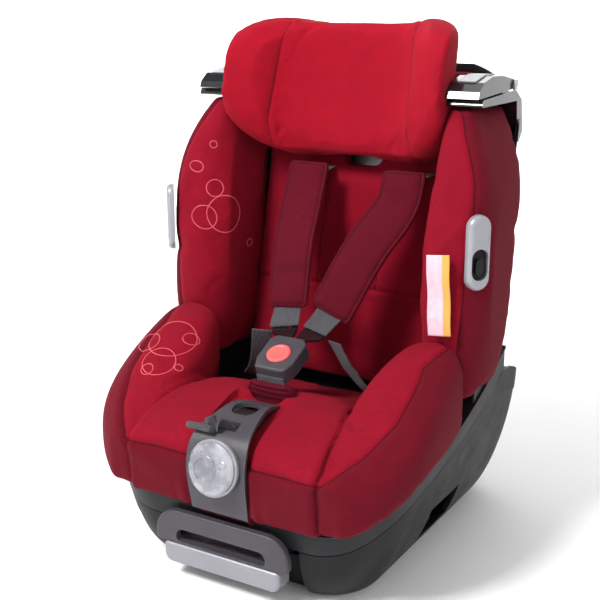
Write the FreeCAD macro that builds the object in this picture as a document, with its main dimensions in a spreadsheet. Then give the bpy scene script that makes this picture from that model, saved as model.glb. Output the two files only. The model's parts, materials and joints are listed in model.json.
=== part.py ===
"""Convertible car seat: a padded bucket seat that reclines on a base tray, with a height-adjustable
headrest and a five-point harness.

Millimetres. +Z is up, the child faces -Y and +X is the child's left. The origin lies on the floor
plane that the base stands on. Every driving size is a cell of the sheet "Sizes".
"""
import math
import os

import FreeCAD
import Part
import Sketcher

V = FreeCAD.Vector
doc = FreeCAD.newDocument("CarSeat")

# ---------------------------------------------------------------------------------------------
# Driving dimensions
# ---------------------------------------------------------------------------------------------
SIZES = {
    # recline motion: the seat slides on arcs about a horizontal line in front of and above it
    "pivot_y": -276, "pivot_z": 768, "slide_r": 696, "edge_r": 652, "run_gap": 2,
    # shells
    "wall": 4, "tub_half": 168, "keel_half": 119, "keel_deep": 26,
    "tub_front": -262, "tub_back": 128, "wing_half": 200,
    "floor": 3, "recess": -228, "rim_high": 22, "cover_high": 26,
    # backrest: its padding starts at (back_y, back_z) and leans back
    "back_y": -6, "back_z": 172, "back_lean": 11.5, "back_length": 420, "back_half": 140,
    "pad_depth": 34, "carrier_u": 38, "wall_u": 52,
    # seat cushion
    "cushion_half": 129, "trim_half": 39, "channel_gap": 1,
    # centre trim
    "trim_wall": 5, "knob_y": -291, "knob_z": 159, "knob_tilt": 12, "knob_r": 33, "knob_rise": 13,
    "shaft_r": 6, "shaft_fit": 0.25,
    # recline handle
    "grip_half": 80, "grip_low": 20, "grip_high": 46, "grip_front": -287, "grip_back": -263,
    "arch_half": 92, "arch_high": 88, "slot_half": 62, "slot_low": 50, "slot_high": 66,
    "rod_x": 76, "rod_arc": 708, "rod_r": 3, "handle_back": -277.5, "bolt_y": 0, "bolt_z": 118.2,
    "bolt_r": 5, "bolt_half": 58,
    # buckle
    "buckle_y": -147, "buckle_z": 250, "buckle_tilt": 26, "buckle_half": 26, "buckle_thick": 20,
    "button_r": 15, "button_fit": 0.5, "tongue_thick": 3,
    # webbing
    "web": 38, "web_thick": 1.6, "pad_web": 59, "pad_thick": 13,
    # headrest
    "head_half": 148,
    # belt clamps on top of the wings
    "clamp_x": 173.5, "clamp_wide": 48, "clamp_ear": 2.6,
    # harness holders on the wing corners
    "holder_x": 214, "holder_y": -71, "holder_z": 389, "holder_turn": 52, "holder_high": 88,
    "holder_wide": 29, "holder_rise": 10,
    # feet and fasteners
    "foot_r": 14, "foot_high": 3, "screw_r": 2.5,
}

sheet = doc.addObject("Spreadsheet::Sheet", "Sizes")
for row, (alias, number) in enumerate(SIZES.items(), start=1):
    sheet.set(f"A{row}", alias)
    sheet.set(f"B{row}", str(number))
    sheet.setAlias(f"B{row}", alias)
doc.recompute()


def terms(spec):
    """Splits a sum of products, such as "wall*2-flange", into (sign, factors)."""
    found = []
    for term in spec.replace("-", "+-").split("+"):
        if term:
            sign = -1 if term.startswith("-") else 1
            found.append((sign, term.lstrip("-").split("*")))
    return found


def num(spec):
    """The value in millimetres or degrees of a number or of a sum of products of cells."""
    if not isinstance(spec, str):
        return float(spec)
    total = 0.0
    for sign, factors in terms(spec):
        product = float(sign)
        for factor in factors:
            product *= sheet.get(factor) if factor in SIZES else float(factor)
        total += product
    return total


def formula(spec):
    """The same sum as a FreeCAD expression."""
    if not isinstance(spec, str):
        return str(spec)
    text = ""
    for sign, factors in terms(spec):
        named = [f"Sizes.{f}" if f in SIZES else f for f in factors]
        text += (" - " if sign < 0 else " + ") + " * ".join(named)
    return "0" + text


def bind(thing, prop, spec):
    thing.setExpression(prop, formula(spec))


# ---------------------------------------------------------------------------------------------
# Part primitives bound to the sheet
# ---------------------------------------------------------------------------------------------
def place(thing, x=0, y=0, z=0, axis=None, angle=0):
    """Gives thing a Placement whose position is bound to the sheet, turned about axis."""
    turn = FreeCAD.Rotation(V(*axis), num(angle)) if axis else FreeCAD.Rotation()
    thing.Placement = FreeCAD.Placement(V(num(x), num(y), num(z)), turn)
    for name, spec in (("x", x), ("y", y), ("z", z)):
        bind(thing, f"Placement.Base.{name}", spec)
    return thing


def box(label, x, y, z, dx, dy, dz, axis=None, angle=0):
    """A block with one corner at (x, y, z)."""
    thing = doc.addObject("Part::Box", label)
    for prop, spec in (("Length", dx), ("Width", dy), ("Height", dz)):
        bind(thing, prop, spec)
    return place(thing, x, y, z, axis, angle)


def cylinder(label, x, y, z, radius, height, axis=None, angle=0):
    """A cylinder whose base circle is centred on (x, y, z)."""
    thing = doc.addObject("Part::Cylinder", label)
    bind(thing, "Radius", radius)
    bind(thing, "Height", height)
    return place(thing, x, y, z, axis, angle)


def cut(label, base, tool):
    thing = doc.addObject("Part::Cut", label)
    thing.Base = base
    thing.Tool = tool
    return thing


def fuse(label, *pieces):
    thing = doc.addObject("Part::MultiFuse", label)
    thing.Shapes = list(pieces)
    return thing


def plain(label, shape):
    """A feature that holds a finished shape."""
    thing = doc.addObject("Part::Feature", label)
    thing.Shape = shape
    return thing


def along(direction):
    """A test for straight edges that run along a direction."""
    def test(edge):
        if edge.Curve.TypeId != "Part::GeomLine":
            return False
        return abs(abs(edge.tangentAt(edge.FirstParameter).dot(V(*direction))) - 1) < 1e-4
    return test


# ---------------------------------------------------------------------------------------------
# PartDesign bodies bound to the sheet
# ---------------------------------------------------------------------------------------------
def new_body(label):
    thing = doc.addObject("PartDesign::Body", label)
    return thing


def sketch_on(body, name, role, offset=0):
    """A sketch on one of the body's own origin planes, moved along the plane's normal."""
    thing = body.newObject("Sketcher::SketchObject", name)
    plane = [p for p in body.Origin.OriginFeatures if p.Role == role][0]
    thing.AttachmentSupport = [(plane, "")]
    thing.MapMode = "FlatFace"
    bind(thing, "AttachmentOffset.Base.z", offset)
    return thing


def pin_point(sketch, geometry, end, x, y):
    """Holds one end of a sketch line, or a circle's centre, at sheet coordinates."""
    for kind, spec in (("DistanceX", x), ("DistanceY", y)):
        index = sketch.addConstraint(Sketcher.Constraint(kind, -1, 1, geometry, end, num(spec)))
        bind(sketch, f"Constraints[{index}]", spec)


def outline(sketch, points):
    """A closed polygon whose corners are (x, y) pairs of sheet sums."""
    corners = [V(num(x), num(y), 0) for x, y in points]
    first = sketch.GeometryCount
    for start, end in zip(corners, corners[1:] + corners[:1]):
        sketch.addGeometry(Part.LineSegment(start, end), False)
    count = len(points)
    for i in range(count):
        sketch.addConstraint(
            Sketcher.Constraint("Coincident", first + i, 2, first + (i + 1) % count, 1)
        )
        pin_point(sketch, first + i, 1, *points[i])


def circle(sketch, x, y, radius):
    ring = Part.Circle(V(num(x), num(y), 0), V(0, 0, 1), num(radius))
    index = sketch.addGeometry(ring, False)
    pin_point(sketch, index, 3, x, y)
    size = sketch.addConstraint(Sketcher.Constraint("Radius", index, num(radius)))
    bind(sketch, f"Constraints[{size}]", radius)


def pad(body, sketch, length, midplane=False, reverse=False):
    thing = body.newObject("PartDesign::Pad", f"{body.Name}_pad")
    thing.Profile = sketch
    thing.Midplane = midplane
    thing.Reversed = reverse
    bind(thing, "Length", length)
    return thing


def pocket(body, sketch, length, midplane=False, reverse=False):
    """Cuts a sketch out of the body and makes sure that it removed material."""
    doc.recompute()
    before = body.Shape.Volume
    thing = body.newObject("PartDesign::Pocket", f"{body.Name}_pocket")
    thing.Profile = sketch
    thing.Midplane = midplane
    thing.Reversed = reverse
    bind(thing, "Length", length)
    doc.recompute()
    if body.Shape.Volume > before - 1:
        raise RuntimeError(f"{body.Label}: a pocket cut nothing")
    return thing


def round_edges(body, radius, wanted):
    """Rounds the edges of the body's last feature for which wanted(edge) is true."""
    doc.recompute()
    last = body.Tip
    names = [f"Edge{i}" for i, e in enumerate(last.Shape.Edges, start=1) if wanted(e)]
    thing = body.newObject("PartDesign::Fillet", f"{body.Name}_fillet")
    thing.Base = (last, names)
    thing.Radius = radius
    return thing


def prism(label, role, points, length, radius=0, edges=None, offset=0):
    """A body padded evenly to both sides of an origin plane, with its long edges rounded."""
    body = new_body(label)
    profile = sketch_on(body, f"{label}_profile", role, offset)
    outline(profile, points)
    pad(body, profile, length, midplane=True)
    if radius:
        round_edges(body, radius, edges)
    return body


def revolved(label, points):
    """A body turned about its own Z axis; points are (radius, height) pairs."""
    body = new_body(label)
    profile = sketch_on(body, f"{label}_profile", "XZ_Plane")
    outline(profile, points)
    turn = body.newObject("PartDesign::Revolution", f"{label}_turn")
    turn.Profile = profile
    turn.ReferenceAxis = (profile, ["V_Axis"])
    turn.Angle = 360
    return body


# ---------------------------------------------------------------------------------------------
# Shapes that run through sections
# ---------------------------------------------------------------------------------------------
def rounded_rectangle(x0, x1, y0, y1, r0, r1, z):
    """A wire in a horizontal plane; r0 rounds the corners at y0 and r1 those at y1."""
    edges = []
    corners = [(x0, y0, r0, 180), (x1, y0, r0, 270), (x1, y1, r1, 0), (x0, y1, r1, 90)]
    ends = []
    for x, y, r, start in corners:
        centre = V(x + (r if x == x0 else -r), y + (r if y == y0 else -r), z)
        arc = Part.Arc(Part.Circle(centre, V(0, 0, 1), r), math.radians(start), math.radians(start + 90))
        ends.append(arc.toShape())
    for arc, after in zip(ends, ends[1:] + ends[:1]):
        edges += [arc, Part.makeLine(arc.valueAt(arc.LastParameter), after.valueAt(after.FirstParameter))]
    return Part.Wire(edges)


def flat_section(centre, across, thick, width, depth):
    """A rectangle around centre, width along across and depth along thick."""
    a = V(across).normalize() * (width / 2)
    t = V(thick).normalize() * (depth / 2)
    corners = [centre - a - t, centre + a - t, centre + a + t, centre - a + t]
    return Part.makePolygon(corners + corners[:1])


def ribbon(points, across, width, depth, lift=0.0):
    """A strap through points, lying flat against across, moved off its path by lift."""
    wires = []
    for i, point in enumerate(points):
        ahead = points[min(i + 1, len(points) - 1)] - points[max(i - 1, 0)]
        side = V(across[i] if isinstance(across, list) else across).normalize()
        out = side.cross(ahead).normalize()
        wide = width[i] if isinstance(width, list) else width
        wires.append(flat_section(point + out * lift, side, out, wide, depth))
    return Part.makeLoft(wires, True, True)


def curve_slab(low, high, half=300):
    """Everything between two curves of (y, z) points, from x -half to +half."""
    bottom = Part.BSplineCurve()
    bottom.interpolate([V(-half, y, z) for y, z in low])
    top = Part.BSplineCurve()
    top.interpolate([V(-half, y, z) for y, z in high])
    first = bottom.toShape()
    last = top.toShape()
    left = Part.makeLine(V(-half, *low[0]), V(-half, *high[0]))
    right = Part.makeLine(V(-half, *low[-1]), V(-half, *high[-1]))
    face = Part.Face(Part.Wire(Part.__sortEdges__([first, right, last, left])))
    return face.extrude(V(2 * half, 0, 0))


def arc_z(radius, y):
    """Height at y of the arc of that radius about the recline line."""
    return num("pivot_z") - math.sqrt(radius ** 2 - (y - num("pivot_y")) ** 2)


def along_back(u, s, x=0.0):
    """The point u millimetres behind the backrest's face and s millimetres up it."""
    lean = math.radians(num("back_lean"))
    return V(
        x,
        num("back_y") + s * math.sin(lean) + u * math.cos(lean),
        num("back_z") + s * math.cos(lean) - u * math.sin(lean),
    )


def lean_placement(s=0.0, u=0.0, x=0.0):
    """A frame on the backrest's face: its Z runs up the face and its Y points behind it."""
    return FreeCAD.Placement(along_back(u, s, x), FreeCAD.Rotation(V(1, 0, 0), -num("back_lean")))


def mirrored(shape):
    return shape.mirror(V(0, 0, 0), V(1, 0, 0))


SIDES = (("left", 1), ("right", -1))


def both_sides(name, make):
    """Makes name_left from make() and name_right as its mirror image."""
    shape = make()
    return [plain(f"{name}_left", shape), plain(f"{name}_right", mirrored(shape))]


# ---------------------------------------------------------------------------------------------
# Outer form shared by the base, its cover and the rim of the seat
# ---------------------------------------------------------------------------------------------
# height, half width, front, back, front corner radius, back corner radius
HULL = [
    (3, 146, -238, 150, 60, 60),
    (20, 160, -254, 162, 68, 64),
    (60, 179, -266, 172, 78, 70),
    (110, 194, -271, 178, 84, 76),
    (190, 205, -274, 182, 88, 80),
    (300, 210, -275, 184, 90, 80),
]
# the edge between base and seat: its front dips towards the handle, the rest is an arc
EDGE_FRONT = [(-300, 72), (-262, 74), (-236, 94), (-203, 115)]
EDGE_ARC = [-160, -110, -60, -10, 40, 90, 140, 200]


def hull(grow=0.0, rise=0.0):
    wires = []
    for z, half, front, back, r_front, r_back in HULL:
        wires.append(rounded_rectangle(
            -half - grow, half + grow, front - grow, back + grow, r_front + grow, r_back + grow, z + rise
        ))
    return Part.makeLoft(wires, True, False)


def edge(lift=0.0):
    """The lower edge of the seat's rim, raised by lift."""
    points = [(y, z + lift) for y, z in EDGE_FRONT]
    points += [(y, arc_z(num("edge_r"), y) + lift) for y in EDGE_ARC]
    return points


def below(points, depth=400):
    return curve_slab([(y, -depth) for y, z in points], points)


def block(x0, x1, y0, y1, z0, z1):
    return Part.makeBox(x1 - x0, y1 - y0, z1 - z0, V(x0, y0, z0))


def tub_form(shrink, low_r, lift):
    """The seat's tub below its edge: a keel down to the arc of radius low_r, shallower beside it."""
    half = num("tub_half") - shrink
    plan = rounded_rectangle(
        -half, half, num("tub_front") + shrink, num("tub_back") - shrink, 60 - shrink, 30 - shrink, 0
    )
    tall = Part.Face(plan).extrude(V(0, 0, 450))
    stations = [-300, -220, -140, -60, 20, 100, 160]
    forms = []
    for radius, wide in ((low_r, num("keel_half") - shrink), (low_r - num("keel_deep"), half)):
        low = [(y, arc_z(radius, y)) for y in stations]
        forms.append(tall.common(curve_slab(low, edge(lift), wide)))
    return forms[0].fuse(forms[1])


# ---------------------------------------------------------------------------------------------
# Base
# ---------------------------------------------------------------------------------------------
def base_recess():
    """The bay in the front wall that the recline handle hangs in."""
    half = num("arch_half") + 4
    return block(-half, half, -320, num("recess"), -1, 200)


def belt_window(side):
    """The opening for the lap belt in one side of the base."""
    window = block(120, 230, -100, -15, 28, 72)
    return window if side > 0 else mirrored(window)


def make_base_tray():
    wall = num("wall")
    skin = hull().cut(hull(-wall, wall))
    seam = edge(-num("cover_high"))
    seam = [p for p in seam if p[0] < 90] + [(130, 160), (200, 150)]
    tray = skin.common(below(seam)).cut(base_recess())
    half = num("arch_half") + 8
    front_wall = block(-half, half, num("recess"), num("recess") + wall, num("floor"), 40)
    tray = tray.fuse(front_wall)
    for side in (1, -1):
        tray = tray.cut(belt_window(side))
    for x, y in SCREW_SPOTS:
        tray = tray.cut(Part.makeCylinder(num("screw_r"), 20, V(x, y, 0)))
    return tray.removeSplitter()


def make_base_cover():
    skin = hull(1).cut(hull(1 - num("wall"), 6))
    gap = num("run_gap")
    seam = edge(0.3 - num("cover_high"))
    seam = [p for p in seam if p[0] < 90] + [(130, 160.3), (200, 150.3)]
    top = edge(-gap)
    top = [p for p in top if p[0] < 60] + [(80, 205), (130, 188), (200, 176)]
    cover = skin.common(curve_slab(seam, top)).cut(base_recess())
    deck = hull(1 - num("wall") / 2).common(block(-300, 300, 95, 300, 172, 176))
    return cover.fuse(deck).removeSplitter()


RAIL_X = 118
RAIL_THICK = 6
PIN_R = 712
PIN_ANGLES = (16.0, 28.2)
RECLINE = 12


def on_arc(radius, angle, x=0.0):
    """The point at an angle behind the lowest point of an arc about the recline line."""
    a = math.radians(angle)
    return V(x, num("pivot_y") + radius * math.sin(a), num("pivot_z") - radius * math.cos(a))


def arc_band(radius, half_width, low, high, x0, x1):
    """A curved bar about the recline line between two angles, with round ends."""
    points = [on_arc(radius + s * half_width, a, x0) for s, a in ((-1, low), (-1, high), (1, high), (1, low))]
    middle = (low + high) / 2
    inner = Part.Arc(points[0], on_arc(radius - half_width, middle, x0), points[1]).toShape()
    outer = Part.Arc(points[3], on_arc(radius + half_width, middle, x0), points[2]).toShape()
    reach = math.degrees(half_width / radius)
    tail = Part.Arc(points[1], on_arc(radius, high + reach, x0), points[2]).toShape()
    nose = Part.Arc(points[3], on_arc(radius, low - reach, x0), points[0]).toShape()
    return Part.Face(Part.Wire([inner, tail, outer, nose])).extrude(V(x1 - x0, 0, 0))


def make_rail():
    low = num("floor") + num("wall")
    stations = [-212, -180, -100, -20, 60, 94]
    top = [(y, arc_z(num("slide_r") + 2, y)) for y in stations]
    rail = curve_slab([(y, low) for y in stations], top, 150)
    rail = rail.common(block(RAIL_X, RAIL_X + RAIL_THICK, -300, 300, 0, 400))
    slot = arc_band(PIN_R, 5.2, PIN_ANGLES[0] - RECLINE - 0.8, PIN_ANGLES[1] + 0.8, RAIL_X - 1, RAIL_X + 7)
    return rail.cut(slot)


def make_rack():
    """A toothed arc under the seat whose notches set the recline steps."""
    rack = arc_band(722, 6, 10, 25, -24, 24)
    for step in range(6):
        notch = Part.makeCylinder(4.5, 60, on_arc(716, step * 2.4 + 11.5, -30), V(1, 0, 0))
        rack = rack.cut(notch)
    posts = [on_arc(722, a) for a in (11, 24)]
    for post in posts:
        rack = rack.fuse(block(-12, 12, post.y - 8, post.y + 8, num("floor") + num("wall"), post.z))
    return rack.removeSplitter()


SCREW_SPOTS = [(x, y) for x in (-105, 105) for y in (-190, -60, 70)]


def make_base_screws():
    screws = []
    for x, y in SCREW_SPOTS:
        shank = Part.makeCylinder(num("screw_r") - 0.05, 12, V(x, y, 3.2))
        head = Part.makeCylinder(5, 3, V(x, y, num("floor") + num("wall")))
        screws.append(shank.fuse(head))
    return Part.makeCompound(screws)


base_tray = plain("base_tray", make_base_tray())
base_cover = plain("base_cover", make_base_cover())
rail = make_rail()
rails = plain("rails", Part.makeCompound([rail, mirrored(rail)]))
recline_rack = plain("recline_rack", make_rack())
base_screws = plain("base_screws", make_base_screws())

guide = [
    box(f"guide_{side}", 124.2 if sign > 0 else -141.2, -14, 7, 17, 6, 60)
    for side, sign in SIDES
]
belt_guides = fuse("belt_guides", *guide)
feet = [
    cylinder(f"foot_{i}", x, y, 0, "foot_r", "foot_high")
    for i, (x, y) in enumerate([(0, 0), (-100, -205), (100, -205), (-100, 115), (100, 115)])
]
base_feet = fuse("base_feet", *feet)


# ---------------------------------------------------------------------------------------------
# Seat shell
# ---------------------------------------------------------------------------------------------
def back_form(shrink, u_back, low=0.0):
    """The leaning U of the back and wings, as a block along the backrest."""
    half = num("wing_half") + num("wall") - shrink
    plan = rounded_rectangle(-half, half, -220, u_back, 20, 48 - shrink, low)
    tall = Part.Face(plan).extrude(V(0, 0, 470))
    tall.Placement = lean_placement()
    return tall


def front_view(half_low, half_top, shoulder, top):
    """A slab along Y that rounds the upper corners of the back as seen from the front."""
    start = V(-half_low, -300, 90)
    points = [V(-half_low, -300, shoulder), V(-half_top, -300, top)]
    middle = V(-half_low + (half_low - half_top) * 0.22, -300, shoulder + (top - shoulder) * 0.72)
    left = Part.Arc(points[0], middle, points[1]).toShape()
    right = left.mirror(V(0, 0, 0), V(1, 0, 0))
    lines = [
        Part.makeLine(start, points[0]),
        Part.makeLine(points[1], V(half_top, -300, top)),
        Part.makeLine(V(half_low, -300, shoulder), V(half_low, -300, 90)),
        Part.makeLine(V(half_low, -300, 90), start),
    ]
    face = Part.Face(Part.Wire(Part.__sortEdges__([lines[0], left, lines[1], right, lines[2], lines[3]])))
    return face.extrude(V(0, 700, 0))


# side view of a belt clamp's base, which the wing tops leave room for
CLAMP_BASE = [(-30, 547.5), (-26, 556), (82, 561), (104, 548), (112, 508), (98, 494), (90, 520), (86, 547.5)]


def clamp_room():
    """The space the left belt clamp's base takes."""
    corners = [V(num("clamp_x") - num("clamp_wide") / 2, y, z) for y, z in CLAMP_BASE]
    face = Part.Face(Part.makePolygon(corners + corners[:1]))
    return face.extrude(V(num("clamp_wide"), 0, 0))


COVER_SCREWS = [(x, lift) for x in (-132, 132) for lift in (82, 368)]


def back_hole(x, lift, radius, start=40, depth=40):
    """A cylinder that runs through the back wall."""
    hole = Part.makeCylinder(radius, depth, V(x, start, lift), V(0, 1, 0))
    hole.Placement = lean_placement()
    return hole


def make_seat_shell():
    wall = num("wall")
    rim = num("rim_high")
    tub = tub_form(0, num("slide_r"), rim + wall)
    tub = tub.cut(tub_form(wall, num("slide_r") - wall, rim + 60))
    tub = tub.common(below(edge(rim + wall)))
    flange = hull(1.5).common(curve_slab(edge(rim), edge(rim + wall)))
    flange = flange.common(block(-300, 300, -300, num("tub_back"), 0, 400))
    flange = flange.cut(tub_form(wall, num("slide_r") - wall, rim + 60))
    walls = back_form(0, num("wall_u") + wall).cut(back_form(wall, num("wall_u"), -20))
    walls = walls.common(front_view(num("wing_half") + wall, 120, 430, 588))
    behind_wings = block(-300, 300, -30, 400, 0, 700)
    above_edge = curve_slab(edge(rim + 1), edge(rim + 600))
    in_tub = tub_form(wall - 1, num("slide_r") - wall + 1, rim + 2)
    walls = walls.common(behind_wings).common(above_edge.fuse(in_tub))
    wing_tops = block(-300, 300, -300, 24, 285, 600)
    wing_tops.Placement = lean_placement()
    walls = walls.cut(wing_tops)
    behind = block(-300, 300, 66, 300, 216, 600)
    lid = tub_form(0.5, num("slide_r"), rim).common(block(-300, 300, 60, 300, 212, 216))
    shell = tub.fuse(flange).cut(behind).fuse([walls, lid])
    strap_slot = block(74, 114, 40, 70, 262, 280)
    strap_slot.Placement = lean_placement()
    for slot in (strap_slot, mirrored(strap_slot)):
        shell = shell.cut(slot)
    for x, lift in COVER_SCREWS:
        shell = shell.cut(back_hole(x, lift, num("screw_r")))
    for room in (clamp_room(), mirrored(clamp_room())):
        shell = shell.cut(room)
    return shell.removeSplitter()


def make_shell_rim():
    rim = num("rim_high")
    skin = hull(1.5).cut(hull(-3, 0))
    band = skin.common(curve_slab(edge(), edge(rim - 0.2)))
    band = band.common(block(-300, 300, -300, 62, 0, 400))
    return band.cut(tub_form(-0.3, 760, 300))


seat_shell = plain("seat_shell", make_seat_shell())
shell_rim = plain("shell_rim", make_shell_rim())


# ---------------------------------------------------------------------------------------------
# Back cover, runners and latch
# ---------------------------------------------------------------------------------------------
def leaning(thing, s=0.0, u=0.0, x=0.0):
    """Stands a body or primitive on the backrest's face."""
    thing.Placement = lean_placement(s, u, x)
    return thing


def leaned(shape):
    """Turns a shape drawn in the backrest's frame into the seat's frame."""
    copy = shape.copy()
    copy.Placement = lean_placement()
    return copy


def make_back_cover():
    """A bulging cover on the back of the shell that hides the harness yoke."""
    front = num("wall_u") + num("wall") + 0.2
    outer = []
    inner = []
    for u, half, low, high, r in ((front, 150, 64, 386, 30), (front + 22, 146, 68, 380, 30),
                                  (front + 40, 122, 92, 352, 40)):
        wire = rounded_rectangle(-half, half, low, high, r, r, -u)
        outer.append(wire)
        inset = 3
        inner.append(rounded_rectangle(
            -half + inset, half - inset, low + inset, high - inset, r - inset, r - inset, inset - u
        ))
    shell = Part.makeLoft(outer, True, False)
    hollow = Part.makeLoft(inner, True, False)
    cover = shell.cut(hollow)
    cover.rotate(V(0, 0, 0), V(1, 0, 0), 90)
    bosses = [Part.makeCylinder(7, 26, V(x, front, lift), V(0, 1, 0)) for x, lift in COVER_SCREWS]
    body = shell.copy()
    body.rotate(V(0, 0, 0), V(1, 0, 0), 90)
    cover = cover.fuse([boss.common(body) for boss in bosses])
    for x, lift in COVER_SCREWS:
        cover = cover.cut(Part.makeCylinder(num("screw_r"), 60, V(x, 40, lift), V(0, 1, 0)))
        cover = cover.cut(Part.makeCylinder(5.5, 60, V(x, front + 16, lift), V(0, 1, 0)))
    for k in range(5):
        lift = 190 + k * 16
        groove = Part.makeBox(130, 3, 5, V(-65, front + 38.5, lift))
        cover = cover.cut(groove)
    return leaned(cover.removeSplitter())


def make_cover_screws():
    screws = []
    front = num("wall_u") + num("wall") + 0.2
    for x, lift in COVER_SCREWS:
        shank = Part.makeCylinder(num("screw_r") - 0.05, 30, V(x, front - 8, lift), V(0, 1, 0))
        head = Part.makeCylinder(5, 3, V(x, front + 16, lift), V(0, 1, 0))
        screws.append(leaned(shank.fuse(head)))
    return Part.makeCompound(screws)


RUNNER_X = 111
RUNNER_THICK = 4
LATCH_X = 50


def make_runner():
    """The hanger beside one rail: it carries the two guide pins."""
    low, high = PIN_ANGLES
    plate = arc_band(PIN_R - 2, 13.8, low, high, RUNNER_X, RUNNER_X + RUNNER_THICK)
    plate = plate.cut(tub_form(0, num("slide_r") + 0.2, 60))
    for angle in PIN_ANGLES:
        plate = plate.cut(Part.makeCylinder(3.05, 20, on_arc(PIN_R, angle, RUNNER_X - 8), V(1, 0, 0)))
    return plate


def make_guide_pin(angle):
    """A stepped pin: its thick end rides in the rail's arc slot."""
    neck = Part.makeCylinder(3, 9, on_arc(PIN_R, angle, RUNNER_X - 3), V(1, 0, 0))
    roller = Part.makeCylinder(5, 8, on_arc(PIN_R, angle, RAIL_X - 1), V(1, 0, 0))
    head = Part.makeCylinder(6.5, 2, on_arc(PIN_R, angle, RUNNER_X - 4), V(1, 0, 0))
    return neck.fuse([roller, head])


def make_latch_bracket():
    """A plate under the tub with an upright slot for the locking bolt."""
    y, z, r = num("bolt_y"), num("bolt_z"), num("bolt_r")
    plate = block(LATCH_X, LATCH_X + 4, y - 16, y + 16, z - 12, z + 40)
    plate = plate.cut(tub_form(0, num("slide_r") + 0.2, 60))
    plate = plate.cut(block(LATCH_X - 1, LATCH_X + 5, y - r - 0.3, y + r + 0.3, z, z + 5))
    for rise in (0, 5):
        plate = plate.cut(Part.makeCylinder(r + 0.3, 6, V(LATCH_X - 1, y, z + rise), V(1, 0, 0)))
    return plate


def pair(shape):
    return Part.makeCompound([shape, mirrored(shape)])


back_cover = plain("back_cover", make_back_cover())
back_cover_screws = plain("back_cover_screws", make_cover_screws())
runners = plain("runners", pair(make_runner()))
guide_pins = plain("guide_pins", Part.makeCompound([pair(make_guide_pin(a)) for a in PIN_ANGLES]))
latch_brackets = plain("latch_brackets", pair(make_latch_bracket()))
recline_bolt = cylinder(
    "recline_bolt", "-bolt_half", "bolt_y", "bolt_z", "bolt_r", "bolt_half*2", (0, 1, 0), 90
)

# ---------------------------------------------------------------------------------------------
# Recline handle
# ---------------------------------------------------------------------------------------------
def make_pull_rod():
    r = num("rod_r")
    x = num("rod_x")
    start = math.degrees(math.asin((num("handle_back") - num("pivot_y")) / num("rod_arc")))
    return arc_band(num("rod_arc"), r, start + 0.25, 22.5, x - r, x + r)


def upright_slab(x0, x1, z0, z1, r_low, r_high, front, back):
    """A rounded rectangle seen from the front, standing between two Y planes."""
    wire = rounded_rectangle(x0, x1, z0, z1, r_low, r_high, 0)
    slab = Part.Face(wire).extrude(V(0, 0, back - front))
    slab.rotate(V(0, 0, 0), V(1, 0, 0), 90)
    slab.translate(V(0, back, 0))
    return slab


def at_front(slab, front):
    """The edges of a slab that lie in its front plane."""
    return [e for e in slab.Edges if abs(e.BoundBox.YMax - front) < 0.01]


def make_handle_frame():
    half, front = num("arch_half"), num("handle_back") - 8.5
    arch = upright_slab(-half, half, num("grip_high"), num("arch_high"), 8, 30, front, num("handle_back"))
    arch = arch.makeFillet(3, at_front(arch, front))
    slot_half = num("slot_half")
    slot = upright_slab(-slot_half, slot_half, num("slot_low"), num("slot_high"), 5, 10, -300, -250)
    return arch.cut(slot)


def make_handle_grip():
    half, front = num("grip_half"), num("grip_front")
    grip = upright_slab(-half, half, num("grip_low"), num("grip_high") - 0.1, 11, 5, front, num("grip_back"))
    return grip.makeFillet(4.5, at_front(grip, front))


handle_frame = plain("handle_frame", make_handle_frame())
handle_grip = plain("handle_grip", make_handle_grip())
pull_rods = plain("pull_rods", pair(make_pull_rod()))

# ---------------------------------------------------------------------------------------------
# Centre trim, mode knob and harness adjuster
# ---------------------------------------------------------------------------------------------
TRIM_LINE = [(-148, 184), (-190, 204), (-218, 210), (-250, 204), (-279, 190), (-290, 168), (-291, 140),
             (-284, 99)]
TRIM_HALVES = [(-330, 39), (-286, 39), (-262, 33), (-232, 27), (-140, 25)]
STRAP_SLOT = (0, -262, 197)
ARCH_SPOT = (0, -229, 205)


def offset_line(line, depth):
    """The line moved inward by depth, away from the outside of the trim."""
    moved = []
    for i, (y, z) in enumerate(line):
        ahead = line[min(i + 1, len(line) - 1)]
        back = line[max(i - 1, 0)]
        dy, dz = ahead[0] - back[0], ahead[1] - back[1]
        size = math.hypot(dy, dz)
        moved.append((y - dz / size * depth, z + dy / size * depth))
    return moved


def trim_slab(outside, inside, half=60):
    """The strip between two offsets of the trim's line."""
    return curve_slab(offset_line(TRIM_LINE, inside), offset_line(TRIM_LINE, outside), half)


def waist(grow=0.0):
    """The trim's outline seen from above, extruded along Z."""
    left = Part.BSplineCurve()
    left.interpolate([V(-half - grow, y, 60) for y, half in TRIM_HALVES])
    edge_left = left.toShape()
    edge_right = mirrored(edge_left)
    ends = [
        Part.makeLine(V(-h - grow, y, 60), V(h + grow, y, 60)) for y, h in (TRIM_HALVES[0], TRIM_HALVES[-1])
    ]
    return Part.Face(Part.Wire(Part.__sortEdges__([edge_left, ends[0], edge_right, ends[1]]))).extrude(
        V(0, 0, 200)
    )


def knob_axis(distance):
    """A point on the knob's axis, measured outwards from the trim."""
    tilt = math.radians(num("knob_tilt"))
    return V(0, num("knob_y") - distance * math.cos(tilt), num("knob_z") + distance * math.sin(tilt))


def crotch_slot():
    """The way up for the crotch strap through the cushion and the trim."""
    return block(-20, 20, -174, -154, 100, 240)


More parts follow.
